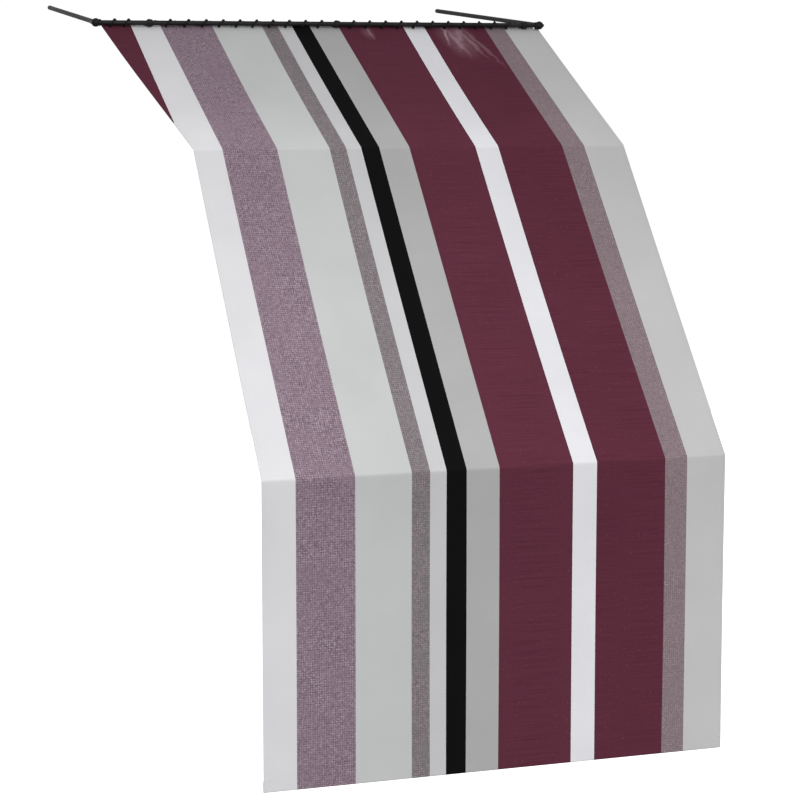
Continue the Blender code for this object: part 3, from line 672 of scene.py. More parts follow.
LACE_CORD, tree, shader = new_material("braided_cord", Specular_IOR_Level=0.12)
parts = split(tree, add(tree, "TexCoord").outputs["UV"])
climb, around = times(tree, parts[0], 2 * pi / BRAID_PITCH), times(tree, parts[1], 2 * pi * BRAID_STRANDS)
strands = [sums(tree, "SINE", sums(tree, way, climb, around)) for way in ("ADD", "SUBTRACT")]
fuzz = noise(tree, add(tree, "TexCoord").outputs["Object"], 1500.0, 2.0)
strand = remap(tree, plus(tree, sums(tree, "MAXIMUM", *strands), fuzz), 0.2, 1.5)
wire(tree, shader, Base_Color=blend(tree, strand, linear(11, 11, 11), linear(31, 30, 30)),
     Roughness=remap(tree, fuzz, 0.3, 0.7, 0.6, 0.85), Normal=bumped(tree, strand, 0.6, 0.0004))
print("webbing and cord finishes ready")

# %% [markdown]
# ## Tools for turned and cast pieces
# Most hard parts are round. A profile of a few points is spun about Z, then the
# result is stood up along its own axis. The object itself stays at the origin and
# the place is in the mesh, so that patterns in Object coordinates stay put.

# %% Turned pieces
X_AXIS = Vector((1, 0, 0))


def bare(bm, name):
    """A bmesh made a plain object, with no finish yet."""
    piece = bpy.data.objects.new(name, bpy.data.meshes.new(name))
    bm.to_mesh(piece.data)
    bm.free()
    bpy.context.scene.collection.objects.link(piece)
    return piece


def dress(piece, surface, replaced=(), sharp=35):
    """Shading, finish and bookkeeping for a piece."""
    piece.data.shade_smooth()
    piece.data.set_sharp_from_angle(angle=radians(sharp))
    piece.data.materials.clear()
    piece.data.materials.append(surface)
    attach(piece, "root")
    if replaced:
        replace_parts(piece, *replaced)
    return piece


def close_up(bm):
    """Join corners that coincide and turn all the faces outward."""
    bmesh.ops.remove_doubles(bm, verts=bm.verts, dist=1e-6)
    bmesh.ops.recalc_face_normals(bm, faces=bm.faces)


def finish_piece(name, bm, surface, replaced=(), sharp=35):
    """A bmesh made an object that rides on the frame, with its finish."""
    close_up(bm)
    return dress(bare(bm, name), surface, replaced, sharp)


def pour(bm, other):
    """Add one bmesh to another, which is used up."""
    loose = bpy.data.meshes.new("loose")
    other.to_mesh(loose)
    other.free()
    bm.from_mesh(loose)
    bpy.data.meshes.remove(loose)


def reshape(piece, change):
    """Change a finished piece's mesh with a function that takes a bmesh."""
    bm = bmesh.new()
    bm.from_mesh(piece.data)
    change(bm)
    bm.to_mesh(piece.data)
    bm.free()


def stood(start, direction):
    """Matrix that stands +Z along direction at start."""
    return Matrix.Translation(start) @ direction.to_track_quat("Z", "Y").to_matrix().to_4x4()


def spin_profile(bm, profile, sides, matrix):
    """Turn points of (radius, height) about Z. The profile is closed unless it ends on the axis."""
    shape = bmesh.new()
    points = [shape.verts.new((radius, 0, height)) for radius, height in profile]
    outline = [shape.edges.new(pair) for pair in zip(points, points[1:])]
    if profile[0][0] > 0:
        outline.append(shape.edges.new((points[-1], points[0])))
    bmesh.ops.spin(shape, geom=points + outline, cent=(0, 0, 0), axis=(0, 0, 1), angle=2 * pi, steps=sides,
                   use_merge=True)
    close_up(shape)
    bmesh.ops.transform(shape, matrix=matrix, verts=shape.verts)
    pour(bm, shape)


def rounded_box(bm, place, size, fillet, segments):
    """Add a box with rounded edges, centred on a place."""
    corners = set(bmesh.ops.create_cube(bm, size=1, matrix=place @ Matrix.Diagonal((*size, 1)))["verts"])
    bmesh.ops.bevel(bm, geom=[edge for edge in bm.edges if corners.issuperset(edge.verts)], offset=fillet,
                    offset_type="OFFSET", affect="EDGES", segments=segments, profile=0.5, material=-1)


def tube_profile(outer, inner, length, lip=0.0004):
    """A hollow tube's section with its cut ends filed round."""
    return [(inner, lip), (inner + lip, 0), (outer - lip, 0), (outer, lip),
            (outer, length - lip), (outer - lip, length), (inner + lip, length), (inner, length - lip)]


def rod_profile(radius, low, high, lip=0.0004):
    """A solid rod's section with its edges filed round."""
    return [(0, low), (radius - lip, low), (radius, low + lip), (radius, high - lip), (radius - lip, high), (0, high)]


print("turning tools ready")

# %% [markdown]
# ## Tubes
# The frame is bent from 12 mm steel tube with 10 mm bars in the folds. A solid
# cylinder would look right from far off, but the open ends show at the elbows and
# knuckles. So each is a real tube with a wall and filed ends, turned with 48 sides.

# %% Head bar, arms, ribs and fold bars
FOLD_RADIUS, FOLD_BORE = 0.005, 0.0038
SOCKET_FLOOR, PLUG_COLLAR, ARM_INSET = 0.0077, 0.008, 0.030
TUBE_SEAT = SOCKET_FLOOR + GAP
KNUCKLE_RADIUS = 0.0062
TUBE_START = KNUCKLE_RADIUS + GAP
RIB_SLEEVE_START, RIB_SOCKET_FLOOR = 0.037, 0.003
bar_ends = {"left": at(BAR_LEFT, (0, 0)), "right": at(BAR_RIGHT, (0, 0))}
inward = {"left": X_AXIS, "right": -X_AXIS}
wall_points = {side: Vector((end.x + inward[side].x * ARM_INSET, 0, 0)) for side, end in bar_ends.items()}
to_wall = {side: (wall_points[side] - end).normalized() for side, end in bar_ends.items()}


def tube(node, start, end, radius=TUBE_RADIUS, bore=TUBE_BORE):
    """A painted tube that stands for a CAD tube."""
    bm = bmesh.new()
    spin_profile(bm, tube_profile(radius, bore, (end - start).length), 48, stood(start, end - start))
    return finish_piece(f"{node}_tube", bm, BLACK_PAINT, [node])


tubes = [tube("head_bar", bar_ends["left"] + X_AXIS * TUBE_SEAT, bar_ends["right"] - X_AXIS * TUBE_SEAT)]
for side, corner in bar_ends.items():
    tubes.append(tube(f"wall_arm_{side}", corner + to_wall[side] * TUBE_SEAT,
                      wall_points[side] - to_wall[side] * (PLUG_COLLAR + GAP)))
rib_head = UPPER_RUN * -(RIB_SLEEVE_START - RIB_SOCKET_FLOOR - GAP) + UPPER_UNDER * (HEAD_OFFSET + RIB_OFFSET)
for side, x in CLAMP_X.items():
    tubes.append(tube(f"upper_rib_{side}", at(x, rib_head), at(x, FIRST_CENTRE - UPPER_RUN * TUBE_START)))
    tubes.append(tube(f"lower_rib_{side}", at(x, FIRST_CENTRE + LOWER_RUN * TUBE_START),
                      at(x, SECOND_CENTRE - LOWER_RUN * TUBE_START)))
BAYS = {"left": ("left", "middle"), "right": ("middle", "right")}
for bay, (low, high) in BAYS.items():
    for fold, centre in (("first", FIRST_CENTRE), ("second", SECOND_CENTRE)):
        tubes.append(tube(f"{fold}_fold_bar_{bay}", at(CLAMP_X[low] + TUBE_START, centre),
                          at(CLAMP_X[high] - TUBE_START, centre), FOLD_RADIUS, FOLD_BORE))
print("tubes", len(tubes), "faces", sum(len(t.data.polygons) for t in tubes))

# %% [markdown]
# ## Cast parts: elbows and clamps
# Elbows and clamps are cast: soft fillets where two bodies meet, crisp bores where
# they were drilled afterwards. That order can be copied. The bodies are turned and
# overlapped, a voxel remesh melts them into one skin, smoothing rounds the joins,
# and only then do Booleans drill the holes.

# %% Casting tools
def settle(piece):
    """Make the result of a piece's modifiers its own mesh."""
    graph = bpy.context.evaluated_depsgraph_get()
    made = bpy.data.meshes.new_from_object(piece.evaluated_get(graph))
    piece.modifiers.clear()
    old, piece.data = piece.data, made
    bpy.data.meshes.remove(old)


def combine(piece, operation, bm):
    """Join a shape to a piece, or cut it out, with an exact Boolean."""
    tool = bare(bm, "tool")
    step = piece.modifiers.new("combine", "BOOLEAN")
    step.operation, step.solver, step.object = operation, "EXACT", tool
    step.use_self = operation == "DIFFERENCE"
    settle(piece)
    bpy.data.objects.remove(tool)


def drill(piece, cuts):
    """Take turned shapes out of a piece."""
    bits = bmesh.new()
    for profile, matrix in cuts:
        spin_profile(bits, profile, 32, matrix)
    combine(piece, "DIFFERENCE", bits)


def cast(name, bm, cuts, voxel=0.0005, rounds=3):
    """Melt overlapping bodies into one skin, round it, then drill it with the cuts."""
    piece = bare(bm, name)
    melt = piece.modifiers.new("melt", "REMESH")
    melt.mode, melt.voxel_size, melt.adaptivity = "VOXEL", voxel, 0
    settle(piece)

    def soften(skin):
        for _ in range(rounds):
            bmesh.ops.smooth_vert(skin, verts=skin.verts, factor=0.5, use_axis_x=True, use_axis_y=True, use_axis_z=True)

    reshape(piece, soften)
    drill(piece, cuts)
    return piece


print("casting tools ready")

# %% [markdown]
# ## Corner elbows
# Each end of the head bar is a ball with two sockets, one for the bar and one for
# the arm. A short collar strengthens each socket, and a flat pad on the outside
# carries the screw.

# %% Elbows
ELBOW_RADIUS, ELBOW_COLLAR_RADIUS, ELBOW_COLLAR, PAD_RADIUS, BORE_CUT = 0.011, 0.0086, 0.0135, 0.0050, 0.0001
BALL = [(ELBOW_RADIUS * cos(radians(a)) if abs(a) < 90 else 0, ELBOW_RADIUS * sin(radians(a)))
        for a in range(-90, 91, 9)]
for side, corner in bar_ends.items():
    body, sockets = bmesh.new(), []
    outward = stood(corner, -inward[side])
    spin_profile(body, BALL, 40, outward)
    for direction in (inward[side], to_wall[side]):
        spin_profile(body, rod_profile(ELBOW_COLLAR_RADIUS, 0, ELBOW_COLLAR, 0.0008), 40, stood(corner, direction))
        sockets.append((rod_profile(TUBE_RADIUS + GAP, SOCKET_FLOOR, 0.03, BORE_CUT), stood(corner, direction)))
    spin_profile(body, rod_profile(PAD_RADIUS, 0, ELBOW_RADIUS - 0.0001), 32, outward)
    elbow = cast(f"corner_elbow_{side}_cast", body, sockets)
    dress(elbow, CAST_BLACK, [f"corner_elbow_{side}"], 40)
    print(elbow.name, len(elbow.data.polygons), "faces")

# %% [markdown]
# ## Head clamps
# Three clamps hold the ribs on the head bar: a sleeve round the bar, a web that
# passes behind the cloth's edge, and a socket for the rib. The moulding seam is a
# thin ridge round the middle of the sleeve.

# %% Clamps
CLAMP_RADIUS, CLAMP_LENGTH = 0.009, 0.014
RIB_SLEEVE_RADIUS, RIB_SLEEVE_END = 0.008, 0.006
WEB_THICKNESS, WEB_BACK = 0.008, 0.019
CLAMP_SCREW_TILT = radians(45)
SCREW_RADIUS, BOSS_RADIUS = 0.0022, 0.0052
CAST_FILLET, SEAM_HALF, SEAM_HEIGHT = 0.0012, 0.0006, 0.0005
screw_way = Vector((-cos(CLAMP_SCREW_TILT), sin(CLAMP_SCREW_TILT)))


def slope_frame(x, under=0.0):
    """Axes at the head: X across, Y down the slope, Z under the cloth."""
    turn = Matrix((X_AXIS, facing(UPPER_RUN), facing(UPPER_UNDER))).transposed().to_4x4()
    return Matrix.Translation(on_hem(x, 0, under)) @ turn


for side, x in CLAMP_X.items():
    body = bmesh.new()
    on_bar = stood(at(x - CLAMP_LENGTH / 2, (0, 0)), X_AXIS)
    seam_low, seam_high = CLAMP_LENGTH / 2 - SEAM_HALF, CLAMP_LENGTH / 2 + SEAM_HALF
    spin_profile(body, rod_profile(CLAMP_RADIUS, 0, CLAMP_LENGTH, CAST_FILLET), 40, on_bar)
    spin_profile(body, rod_profile(CLAMP_RADIUS + SEAM_HEIGHT, seam_low, seam_high, 0.0002), 40, on_bar)
    low = Vector((-WEB_THICKNESS / 2, -WEB_BACK, TUBE_RADIUS / 3))
    high = Vector((WEB_THICKNESS / 2, -TUBE_RADIUS - 0.0005, HEAD_OFFSET + RIB_OFFSET))
    rounded_box(body, slope_frame(x) @ Matrix.Translation((low + high) / 2), high - low, CAST_FILLET, 2)
    sleeve = stood(on_hem(x, -RIB_SLEEVE_START, HEAD_OFFSET + RIB_OFFSET), facing(UPPER_RUN))
    sleeve_profile = rod_profile(RIB_SLEEVE_RADIUS, 0, RIB_SLEEVE_START - RIB_SLEEVE_END, CAST_FILLET)
    spin_profile(body, sleeve_profile, 40, sleeve)
    spin_profile(body, rod_profile(BOSS_RADIUS, 0, CLAMP_RADIUS + 0.0002), 32, stood(at(x, (0, 0)), facing(screw_way)))
    bores = [(rod_profile(TUBE_RADIUS + GAP, -CLAMP_LENGTH, CLAMP_LENGTH, BORE_CUT), stood(at(x, (0, 0)), X_AXIS)),
             (rod_profile(TUBE_RADIUS + GAP, RIB_SOCKET_FLOOR, 0.06, BORE_CUT), sleeve)]
    clamp = cast(f"head_clamp_{side}_cast", body, bores)
    dress(clamp, CAST_BLACK, [f"head_clamp_{side}"], 40)
    print(clamp.name, len(clamp.data.polygons), "faces")

# %% [markdown]
# ## Knuckles
# Under each fold a ball joins the rib tubes and the fold bars. Its spigots run
# inside the tubes, so only the ball and the fine gaps round it show. Turned shapes
# and a Boolean union are enough here.

# %% Knuckles
SPIGOT_LENGTH = 0.025
SPIGOT_RADIUS, FOLD_SPIGOT_RADIUS = TUBE_BORE - 0.0003, FOLD_BORE - 0.0003
KNUCKLE_BALL = [(r * KNUCKLE_RADIUS / ELBOW_RADIUS, h * KNUCKLE_RADIUS / ELBOW_RADIUS) for r, h in BALL]
FOLDS = {"first": (FIRST_CENTRE, (-UPPER_RUN, LOWER_RUN)), "second": (SECOND_CENTRE, (-LOWER_RUN,))}
for side, x in CLAMP_X.items():
    level = [way for way, absent in ((-X_AXIS, "left"), (X_AXIS, "right")) if side != absent]
    for fold, (centre, runs) in FOLDS.items():
        bm = bmesh.new()
        spin_profile(bm, KNUCKLE_BALL, 32, stood(at(x, centre), X_AXIS))
        knuckle = bare(bm, f"{fold}_knuckle_{side}_ball")
        spigots = [(way, FOLD_SPIGOT_RADIUS) for way in level]
        spigots += [(at(x, centre + run) - at(x, centre), SPIGOT_RADIUS) for run in runs]
        for way, radius in spigots:
            rod = bmesh.new()
            spin_profile(rod, rod_profile(radius, 0, TUBE_START + SPIGOT_LENGTH), 24, stood(at(x, centre), way))
            combine(knuckle, "UNION", rod)
        dress(knuckle, CAST_BLACK, [f"{fold}_knuckle_{side}"])
print("knuckles 6")

# %% [markdown]
# ## Screws
# The screws have low domed heads with a hexagonal socket. A hexagon is cut into
# short edges so that it has as many points as the round rim, the two loops are
# bridged, and the rim is drawn down and out in steps to make the dome.

# %% Button-head screws
SCREW_HEAD_RADIUS, SCREW_HEAD_HEIGHT, SCREW_GRIP, RIM_RADIUS = 0.0038, 0.0025, 0.006, 0.0019
HEX_RADIUS, HEX_DEPTH = 0.0014, 0.0013
DOME = [(0.0027, 0.0023), (0.0033, 0.0019), (0.0037, 0.0013), (SCREW_HEAD_RADIUS, 0.0006), (0.0037, 0.0001),
        (0.0035, 0), (SCREW_RADIUS, 0)]


def grow_ring(bm, edges):
    """Extrude a ring of edges; give back the new corners and the new ring."""
    made = bmesh.ops.extrude_edge_only(bm, edges=edges)["geom"]
    verts = [item for item in made if isinstance(item, bmesh.types.BMVert)]
    ring = [item for item in made if isinstance(item, bmesh.types.BMEdge) and set(verts).issuperset(item.verts)]
    return verts, ring


def button_screw(node, seat, direction, grip):
    """A screw whose head stands on seat and points along direction."""
    bm = bmesh.new()
    top = Matrix.Translation((0, 0, SCREW_HEAD_HEIGHT))
    bmesh.ops.create_circle(bm, segments=6, radius=HEX_RADIUS, matrix=top)
    bmesh.ops.subdivide_edges(bm, edges=list(bm.edges), cuts=3)
    hexagon = list(bm.edges)
    bmesh.ops.create_circle(bm, segments=24, radius=RIM_RADIUS, matrix=top)
    ring = [edge for edge in bm.edges if edge not in hexagon]
    bmesh.ops.bridge_loops(bm, edges=hexagon + ring)
    floor_verts, _ = grow_ring(bm, hexagon)
    bmesh.ops.translate(bm, vec=(0, 0, -HEX_DEPTH), verts=floor_verts)
    bmesh.ops.contextual_create(bm, geom=floor_verts)
    radius, height = RIM_RADIUS, SCREW_HEAD_HEIGHT
    for next_radius, next_height in DOME + [(SCREW_RADIUS, -grip + 0.0005), (SCREW_RADIUS - 0.0005, -grip)]:
        verts, ring = grow_ring(bm, ring)
        bmesh.ops.scale(bm, vec=(next_radius / radius, next_radius / radius, 1), verts=verts)
        bmesh.ops.translate(bm, vec=(0, 0, next_height - height), verts=verts)
        radius, height = next_radius, next_height
    bmesh.ops.contextual_create(bm, geom=verts)
    bmesh.ops.transform(bm, matrix=stood(seat, direction), verts=bm.verts)
    return finish_piece(f"{node}_button", bm, SCREW_STEEL, [node], 30)


for side, corner in bar_ends.items():
    button_screw(f"elbow_screw_{side}", corner - inward[side] * (ELBOW_RADIUS + GAP / 2), -inward[side], SCREW_GRIP)
for side, x in CLAMP_X.items():
    way = facing(screw_way)
    seat = at(x, (0, 0)) + way * (CLAMP_RADIUS + GAP)
    button_screw(f"clamp_screw_{side}", seat, way, CLAMP_RADIUS - TUBE_RADIUS - GAP)
print("screws 5")

# %% [markdown]
# ## End plugs
# A black plastic plug closes each arm where it meets the wall. It is turned with a
# ribbed stub, then sliced flush with the wall plane.

# %% Plugs
BARBS, BARB_PITCH, BARB_DEPTH, BARB_RISE = 5, 0.0045, 0.0007, 0.0006
for side, wall_point in wall_points.items():
    bm = bmesh.new()
    tip = -PLUG_COLLAR - SPIGOT_LENGTH
    stub = [(0, tip), (SPIGOT_RADIUS - 0.0006, tip)]
    for i in range(BARBS):
        level = tip + 0.003 + i * BARB_PITCH
        stub += [(SPIGOT_RADIUS, level), (SPIGOT_RADIUS - BARB_DEPTH, level + BARB_RISE)]
    collar = [(SPIGOT_RADIUS - BARB_DEPTH, -PLUG_COLLAR), (TUBE_RADIUS - 0.0005, -PLUG_COLLAR),
              (TUBE_RADIUS, -PLUG_COLLAR + 0.0006), (TUBE_RADIUS, 0.004), (0, 0.004)]
    spin_profile(bm, stub + collar, 40, stood(wall_point, to_wall[side]))
    bmesh.ops.bisect_plane(bm, geom=bm.verts[:] + bm.edges[:] + bm.faces[:], plane_co=(0, 0, 0), plane_no=(0, 1, 0),
                           clear_outer=True)
    bmesh.ops.holes_fill(bm, edges=[edge for edge in bm.edges if edge.is_boundary], sides=0)
    finish_piece(f"arm_end_plug_{side}_cap", bm, PLUG_PLASTIC, [f"arm_end_plug_{side}"])
print("plugs 2")

# %% [markdown]
# ## The cloth's path
# Seen from the side the cloth is one line: a short hem behind the bar, the upper
# slope, a tight bend over the first fold bar, the lower slope, a second bend, the
# drop, a turn round the weight bar and a short way back up. Legs in a list hold
# that line, and a helper finds the point any distance down it.

# %% Side-view path
HEM_BACK, HEM_RADIUS, HALF_CLOTH = 0.026, 0.0023, 0.0005
HEM_BAR_HEIGHT, HEM_BAR_THICKNESS, HEM_RETURN = 0.020, 0.003, 0.0275
hem_centre = Vector((SECOND_FOLD[0] - HEM_RADIUS, SECOND_FOLD[1] - DROP_LENGTH + HEM_RADIUS + HALF_CLOTH))
first_bend, second_bend = LOWER_SLOPE - UPPER_SLOPE, pi / 2 - LOWER_SLOPE
LEGS = [  # length, slope at the start, slope at the end, start point
    (HEM_BACK, UPPER_SLOPE, UPPER_SLOPE, HEAD_POINT - UPPER_RUN * HEM_BACK),
    (UPPER_LENGTH - RIB_OFFSET * tan(first_bend / 2), UPPER_SLOPE, UPPER_SLOPE, HEAD_POINT),
    (RIB_OFFSET * first_bend, UPPER_SLOPE, LOWER_SLOPE, FIRST_CENTRE - UPPER_UNDER * RIB_OFFSET),
    (LOWER_LENGTH - RIB_OFFSET * (tan(first_bend / 2) + tan(second_bend / 2)), LOWER_SLOPE, LOWER_SLOPE,
     FIRST_CENTRE - LOWER_UNDER * RIB_OFFSET),
    (RIB_OFFSET * second_bend, LOWER_SLOPE, pi / 2, SECOND_CENTRE - LOWER_UNDER * RIB_OFFSET),
    (SECOND_CENTRE[1] - hem_centre[1], pi / 2, pi / 2, SECOND_CENTRE + Vector((RIB_OFFSET, 0))),
    (HEM_RADIUS * pi, pi / 2, 3 * pi / 2, hem_centre + Vector((HEM_RADIUS, 0))),
    (HEM_RETURN, 3 * pi / 2, 3 * pi / 2, hem_centre - Vector((HEM_RADIUS, 0))),
]
leg_starts = [-HEM_BACK]
for length, *_ in LEGS:
    leg_starts.append(leg_starts[-1] + length)
S_HEAD, S_FOLD1, S_AFTER1, S_FOLD2, S_AFTER2, S_HEM, S_RETURN, S_END = leg_starts[1:]


def along(s):
    """Side-view point and slope of the cloth, s from the bar down its length."""
    leg = min(max(bisect_right(leg_starts, s) - 1, 0), len(LEGS) - 1)
    length, before, after, start = LEGS[leg]
    part = s - leg_starts[leg]
    slope = before + (after - before) * part / length
    if after == before:
        return start + slope_axes(before)[0] * part, slope
    radius = length / (after - before)
    centre = start + slope_axes(before)[1] * radius
    return centre - slope_axes(slope)[1] * radius, slope


print("cloth length", round(S_END + HEM_BACK, 4), "folds at", round(S_FOLD1, 4), round(S_FOLD2, 4))

# %% [markdown]
# ## How the cloth hangs
# A stretched awning isn't flat: between the ribs it sags a few millimetres, past
# the outer ribs its edges droop, the lacing draws small ripples below each eyelet,
# and the drop hangs in very gentle waves. Fabric that is cut and laced like this
# needs no simulation: a few sine curves give each effect where it belongs, and
# nothing moves where a bar or rib holds the cloth.

# %% Sag, ripples and waves
UPPER_SAG, LOWER_SAG, EDGE_DROOP, RIPPLE, DROP_WAVE = 0.0045, 0.0055, 0.0030, 0.0008, 0.0016
ribs = sorted(CLAMP_X.values())


def between_ribs(x):
    """0 on a rib and 1 midway between two; past the outer ribs a growing droop."""
    for low, high in zip(ribs, ribs[1:]):
        if low <= x <= high:
            return sin(pi * (x - low) / (high - low)) ** 2
    past = (ribs[0] - x if x < ribs[0] else x - ribs[-1]) / 0.05
    return min(past, 2.5) ** 1.5 * EDGE_DROOP / UPPER_SAG * 0.5


def ripple(x, s):
    """Ripples under the lacing: the cloth gives a little between two eyelets."""
    if not 0 < s < 0.3:
        return 0.0
    for low, high in zip(eyelets, eyelets[1:]):
        if low <= x <= high:
            return RIPPLE * sin(pi * (x - low) / (high - low)) ** 2 * (1 - exp(-s / 0.015)) * exp(-s / 0.06)
    return 0.0


def sag(x, s):
    """How far the cloth lies under its straight line."""
    if S_HEAD < s < S_FOLD1:
        return UPPER_SAG * sin(pi * s / S_FOLD1) * between_ribs(x) + ripple(x, s)
    if S_AFTER1 < s < S_FOLD2:
        share = (s - S_AFTER1) / (S_FOLD2 - S_AFTER1)
        return LOWER_SAG * sin(pi * share) * between_ribs(x)
    if S_AFTER2 < s < S_HEM:
        share = (s - S_AFTER2) / (S_HEM - S_AFTER2)
        held = sin(pi * min(share, 0.96) / 0.96)
        return DROP_WAVE * held * (cos(2 * pi * x / 0.39 + 0.7) + 0.5 * cos(2 * pi * x / 0.23 + 2.1))
    if s > S_RETURN:
        rise = s - S_RETURN - HEM_BAR_HEIGHT
        share = min(max(rise / 0.006, 0), 1)
        return (2 * HEM_RADIUS - 0.0011) * share * share * (3 - 2 * share)
    return 0.0


def cloth_point(x, s, under=0.0):
    """Place on the cloth, or a little under it."""
    point, slope = along(s)
    return at(x, point + slope_axes(slope)[1] * (sag(x, s) + under))


print("sag midway", round(sag(0.3, S_FOLD1 / 2) * 1000, 2), "mm")

# %% [markdown]
# ## Edges and stripes of the cloth
# The upper panel is wider at the head than at the first fold, and its left edge is
# cut along a slant, so a wedge of the next burgundy stripe shows there. Lacing and
# ribs also draw the stripes in a little at the first fold. A short table holds how
# far each stripe edge is drawn there, fading to nothing at the head and at the
# second fold.

# %% Edges, and the flat spot of each point
DRAWN_IN = [(-0.300, -0.0096), (0.000, -0.0096), (0.077, 0.001), (0.214, -0.002), (0.347, -0.004), (0.390, -0.005),
            (0.429, -0.006), (0.477, -0.008), (0.556, -0.010), (0.736, -0.019), (0.795, -0.018), (0.966, -0.019),
            (1.022, -0.016), (1.120, -0.006), (1.300, -0.006)]
LEFT_PULL, RIGHT_PULL = 0.008, -0.006
HEM_FOLD, SIDE_HEM = 0.0008, 0.011


def drawn(s):
    """1 at the first fold, 0 at the head and at the second fold."""
    return max(0.0, min(s / S_FOLD1, (S_FOLD2 - s) / (S_FOLD2 - S_AFTER1), 1.0))


def edges(s):
    """The cloth's left and right edges."""
    return (-HEAD_FLARE * max(0.0, 1 - s / UPPER_LENGTH) + LEFT_PULL * drawn(s), CLOTH_WIDTH + RIGHT_PULL * drawn(s))


def stripe_at(x, s):
    """Which spot across the woven stripes lies at x."""
    places = [stripe + shift * drawn(s) for stripe, shift in DRAWN_IN]
    i = min(max(bisect_right(places, x) - 1, 0), len(places) - 2)
    share = (x - places[i]) / (places[i + 1] - places[i])
    return DRAWN_IN[i][0] + (DRAWN_IN[i + 1][0] - DRAWN_IN[i][0]) * share


print("edges at first fold", [round(x, 4) for x in edges(S_FOLD1)])

# %% [markdown]
# ## One sheet of cloth
# The cloth is one grid of quads, laid out by a list of columns and a list of rows
# and then moved into place. Columns stand where the notches are cut and turn under
# at the two side hems. Rows crowd at the folds, which keeps the bends crisp. Each
# corner keeps its flat spot as UV, in metres.

# %% Grid helper
def placed_grid(columns, rows, place):
    """A grid whose corner (i, j) goes where place(columns[i], rows[j]) says, with its flat spot."""
    bm = bmesh.new()
    bmesh.ops.create_grid(bm, x_segments=len(columns) - 1, y_segments=len(rows) - 1, size=0.5)
    assert len(bm.verts) == len(columns) * len(rows)
    flat = bm.loops.layers.uv.new("flat")
    spots = {}
    for vert in bm.verts:
        i = round((vert.co.x + 0.5) * (len(columns) - 1))
        j = round((vert.co.y + 0.5) * (len(rows) - 1))
        vert.co, spots[vert] = place(columns[i], rows[j])
    for face in bm.faces:
        for loop in face.loops:
            loop[flat].uv = spots[loop.vert]
    return bm, flat


def steps(start, end, count):
    """Evenly spaced values, without the last."""
    return [start + (end - start) * i / count for i in range(count)]


print("grid helper ready")

# %% [markdown]
# ## Columns and rows
# Each column has a kind: hem, turn, fan or flat. The fan columns spread out toward
# the head, where the cloth is wider. Short steps stand where the cloth bends or is
# cut, and long ones where it lies flat.

# %% Columns and rows of the cloth
FAN_END = CLAMP_X["left"] - NOTCH_HALF_WIDTH
FLAP_END, FLAP_BACK = 1.107, -0.010
columns = [("left hem", SIDE_HEM - d) for d in steps(0, SIDE_HEM, 4)]
columns += [("left turn", angle) for angle in steps(pi, 0, 5)]
columns += [("fan", share) for share in steps(0, 1, 14)]
marks = [FAN_END, CLAMP_X["left"] + NOTCH_HALF_WIDTH, CLAMP_X["middle"] - NOTCH_HALF_WIDTH,
         CLAMP_X["middle"] + NOTCH_HALF_WIDTH, CLAMP_X["right"] - NOTCH_HALF_WIDTH, CLAMP_X["right"] + NOTCH_HALF_WIDTH,
         FLAP_END, CLOTH_WIDTH]
for low, high in zip(marks, marks[1:]):
    columns += [("flat", x) for x in steps(low, high, max(2, round((high - low) / 0.009)))]
columns += [("right turn", angle) for angle in steps(0, pi, 5)]
columns += [("right hem", d) for d in steps(0, SIDE_HEM, 4)] + [("right hem", SIDE_HEM)]

rows = [-0.026, -0.022, -0.018, -0.014, -0.010, -0.007, -0.004, -0.002, 0.002, 0.006, 0.011, 0.017, 0.024, 0.032]
rows += steps(0.042, S_FOLD1 - 0.008, 44) + [S_FOLD1 - 0.008, S_FOLD1 - 0.003, S_FOLD1 - 0.0008]
rows += steps(S_FOLD1, S_AFTER1, 5) + [S_AFTER1, S_AFTER1 + 0.0008, S_AFTER1 + 0.003]
rows += steps(S_AFTER1 + 0.008, S_FOLD2 - 0.008, 60) + [S_FOLD2 - 0.008, S_FOLD2 - 0.003, S_FOLD2 - 0.0008]
rows += steps(S_FOLD2, S_AFTER2, 7) + [S_AFTER2, S_AFTER2 + 0.0008, S_AFTER2 + 0.003]
rows += steps(S_AFTER2 + 0.008, S_HEM - 0.03, 44) + steps(S_HEM - 0.03, S_HEM - 0.001, 8) + [S_HEM - 0.001]
rows += steps(S_HEM, S_RETURN, 8) + steps(S_RETURN, S_END, 10) + [S_END]
print("columns", len(columns), "rows", len(rows))

# %% [markdown]
# ## Laying out and cutting
# Each kind of column has its own rule for the place of a corner. Afterwards the
# faces in the clamps' notches, and those in the way of the webbing, are deleted.

# %% Laying out the cloth
def lay_cloth(column, s):
    kind, value = column
    left, right = edges(s)
    left, right = left + HEM_FOLD, right - HEM_FOLD
    if kind == "fan":
        fan_end = FAN_END + (LEFT_PULL + (RIGHT_PULL - LEFT_PULL) * FAN_END / CLOTH_WIDTH) * drawn(s)
        x = left + (fan_end - left) * value
    elif kind == "flat":
        x = value + (LEFT_PULL + (RIGHT_PULL - LEFT_PULL) * value / CLOTH_WIDTH) * drawn(s)
    if kind in ("fan", "flat"):
        x = min(x, right)
        return cloth_point(x, s), (stripe_at(x, s), s)
    edge, way = (left, -1) if kind.startswith("left") else (right, 1)
    if kind.endswith("turn"):
        return (cloth_point(edge + way * HEM_FOLD * sin(value), s, HEM_FOLD * (1 - cos(value))),
                (stripe_at(edge, s) - way * HEM_FOLD * value, s))
    return (cloth_point(edge - way * value, s, 2 * HEM_FOLD),
            (stripe_at(edge, s) - way * (HEM_FOLD * pi + value), s))


bm, flat = placed_grid(columns, rows, lay_cloth)


def flat_middle(face):
    """Middle of a face on the flat cloth."""
    spots = [loop[flat].uv for loop in face.loops]
    return sum(spot.x for spot in spots) / len(spots), sum(spot.y for spot in spots) / len(spots)


